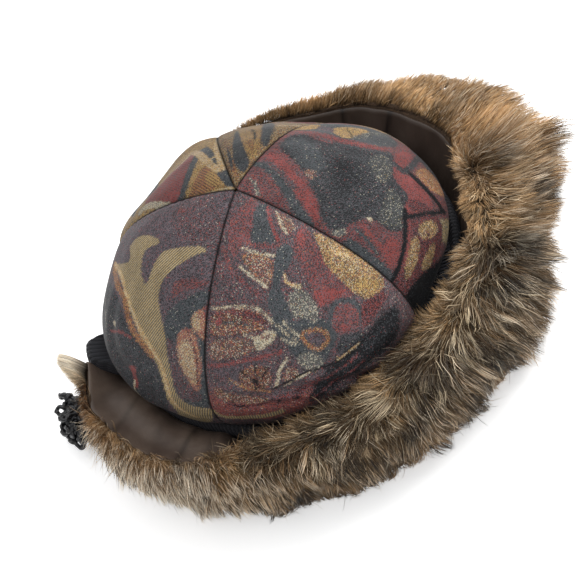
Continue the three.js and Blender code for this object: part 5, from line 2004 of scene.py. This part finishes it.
@dataclass
class NapeTuft:
    """Loops of shiny black yarn gathered in a knot by the brim's open back."""

    form: HatForm
    aim: float = 186.0  # azimuth that the loops fan out round
    loops: int = 112
    thick: float = 1.4  # half the yarn's thickness, mm
    steps: int = 32
    sides: int = 5
    fan: float = 116.0
    reach: float = 25.0
    knot_steps: int = 420
    knot_turns: int = 15
    knot_radii: tuple[float, float, float] = (9, 6.5, 8.5)

    def loop(self, centre: ndarray, number: int, random: Generator) -> ndarray:
        """Centre line of one loop that leaves the knot and comes back to it.

        Args:
            centre: middle of the knot.
            number: the loop's number.
            random: seeded random numbers.

        Returns:
            Points of the line.
        """
        turn = (self.aim + self.fan * (number / (self.loops - 1) - 0.5) + random.normal(0, 5)) * TURN
        rise = random.uniform(-14, 40) * TURN
        ahead = np.array([math.sin(turn) * math.cos(rise), -math.cos(turn) * math.cos(rise), math.sin(rise)])
        side = unit(np.cross(ahead, random.normal(size=3)))
        third = np.cross(ahead, side)
        length = self.reach * random.uniform(0.3, 1.05)
        wide = random.uniform(1.6, 3.6)
        t = np.linspace(0, 1, self.steps)
        out = np.sin(math.pi * t) ** 0.8
        line = centre + ahead * (out * length)[:, None]
        line = line + side * (np.sin(2 * math.pi * t) * wide * out)[:, None]
        beat = random.uniform(7, 10)
        line = line + side * (np.sin(beat * math.pi * t + number) * 0.9 * out)[:, None]
        line = line + third * (np.cos(beat * math.pi * t) * 1.0 * out)[:, None]
        line[:, 2] = np.maximum(line[:, 2] - 0.1 * length * out ** 2, self.thick + 0.3)
        return line

    def tube(self, line: ndarray, thick: float, start: int) -> tuple[ndarray, ndarray]:
        """Points and faces of a tube round a line.

        Args:
            line: the points it follows.
            thick: half its thickness.
            start: number of its first point.

        Returns:
            Points, and corner numbers of its quads.
        """
        along = unit(np.gradient(line, axis=0))
        side = unit(np.cross(along, (0.21, 0.35, 0.91)))
        other = np.cross(along, side)
        angle = np.linspace(0, 2 * math.pi, self.sides, endpoint=False)
        ring = side[:, None] * np.cos(angle)[None, :, None] + other[:, None] * np.sin(angle)[None, :, None]
        points = line[:, None] + ring * thick
        return points.reshape(-1, 3), grid_faces(len(line), self.sides, closed=True, start=start)

    def build(self) -> list[Object]:
        """Builds the loops and the wound knot that holds them.

        Returns:
            The tuft, alone in its list.
        """
        random = np.random.default_rng(SEED + 5)
        centre = self.form.outline(*np.array(self.form.knot))
        lines = [self.loop(centre, number, random) for number in range(self.loops)]
        t = np.linspace(0, 1, self.knot_steps)
        turns = t * 2 * math.pi * self.knot_turns
        lean = t * math.pi * 1.7
        ball = np.stack([np.cos(turns) * np.cos(lean), np.sin(turns), np.cos(turns) * np.sin(lean)], -1)
        lines.append(centre + ball * self.knot_radii)
        points, faces, count = [], [], 0
        for line in lines:
            some, quads = self.tube(line, self.thick, count)
            points.append(some)
            faces.append(quads)
            count += len(some)
        tuft = mesh_piece("yarn_tuft", np.vstack(points), faces)
        finish_piece(tuft, YarnFinish().build(), Slot.YARN, "nape_tuft")
        return [tuft]


# Studio


@dataclass(frozen=True)
class Studio:
    """White floor, bright surroundings and large soft lamps."""

    floor_side: float = 6.0
    surroundings: float = 0.42
    floor_glow: float = 0.42
    # name, place in metres, size, power in watts, colour
    lamps: tuple = (
        ("key", (0.5, -1.2, 1.35), 0.9, 28, (1.0, 0.99, 0.97)),
        ("top", (0.2, 0.1, 1.9), 1.6, 13, (0.98, 0.99, 1.0)),
        ("fill", (-1.3, 0.1, 1.2), 1.4, 3, (0.97, 0.98, 1.0)),
    )

    def floor(self) -> None:
        """Lays the floor."""
        half = self.floor_side / 2 / MM
        corners = np.array([(-half, -half, 0), (half, -half, 0), (half, half, 0), (-half, half, 0)], float)
        plane = mesh_piece("studio_floor", corners - AXIS, [np.array([[0, 1, 2, 3]])])
        f = Finish("floor_white")
        place = f.node("ShaderNodeTexCoord").outputs["Object"]
        cloudy = f.noise(place, 6, 2)
        f.surface(Base_Color=f.mix(f.between(cloudy, 0.3, 0.7), srgb(250, 250, 250), srgb(254, 254, 254)))
        f.surface(Roughness=0.9, Specular_IOR_Level=0.1, Emission_Color=srgb(255, 255, 255))
        f.surface(Emission_Strength=self.floor_glow)
        plane.data.materials.append(f.material)
        plane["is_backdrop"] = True

    def build(self) -> None:
        """Lays the floor, lights the room and sets the picture's colours."""
        self.floor()
        world = bpy.data.worlds.new("surroundings")
        world.use_nodes = True
        ground = world.node_tree.nodes["Background"]
        ground.inputs[0].default_value = (1, 1, 1, 1)
        ground.inputs[1].default_value = self.surroundings
        scene = bpy.context.scene
        scene.world = world
        scene.view_settings.view_transform = "Standard"
        for name, place, size, power, colour in self.lamps:
            lamp = bpy.data.lights.new(name, "AREA")
            lamp.size, lamp.energy, lamp.color = size, power, colour
            holder = bpy.data.objects.new(name, lamp)
            holder.location = place
            toward = Vector((0, 0, 0.06)) - Vector(place)
            holder.rotation_euler = toward.to_track_quat("-Z", "Y").to_euler()
            scene.collection.objects.link(holder)


def write_sizes() -> None:
    """Works out the frame's box and the looks' box, one list each."""
    boxes = {"cad": CAD_BOX, "looks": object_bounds()}
    boxes = {name: [[float(v) for v in corner] for corner in box] for name, box in boxes.items()}


def main() -> None:
    """Builds the hat's sub-assemblies in order."""
    logging.basicConfig(level=logging.INFO, format="%(name)s %(message)s")
    form, view = HatForm(), ViewPoint()
    view.build()
    Studio().build()
    for part in (Crown(form, view), KnitBand(form), SatinFacing(form), FurBrim(form, view), NapeTuft(form)):
        for piece in part.build():
            LOG.info("%s: %d faces", piece.name, len(piece.data.polygons))
    write_sizes()


if __name__ == "__main__":
    main()
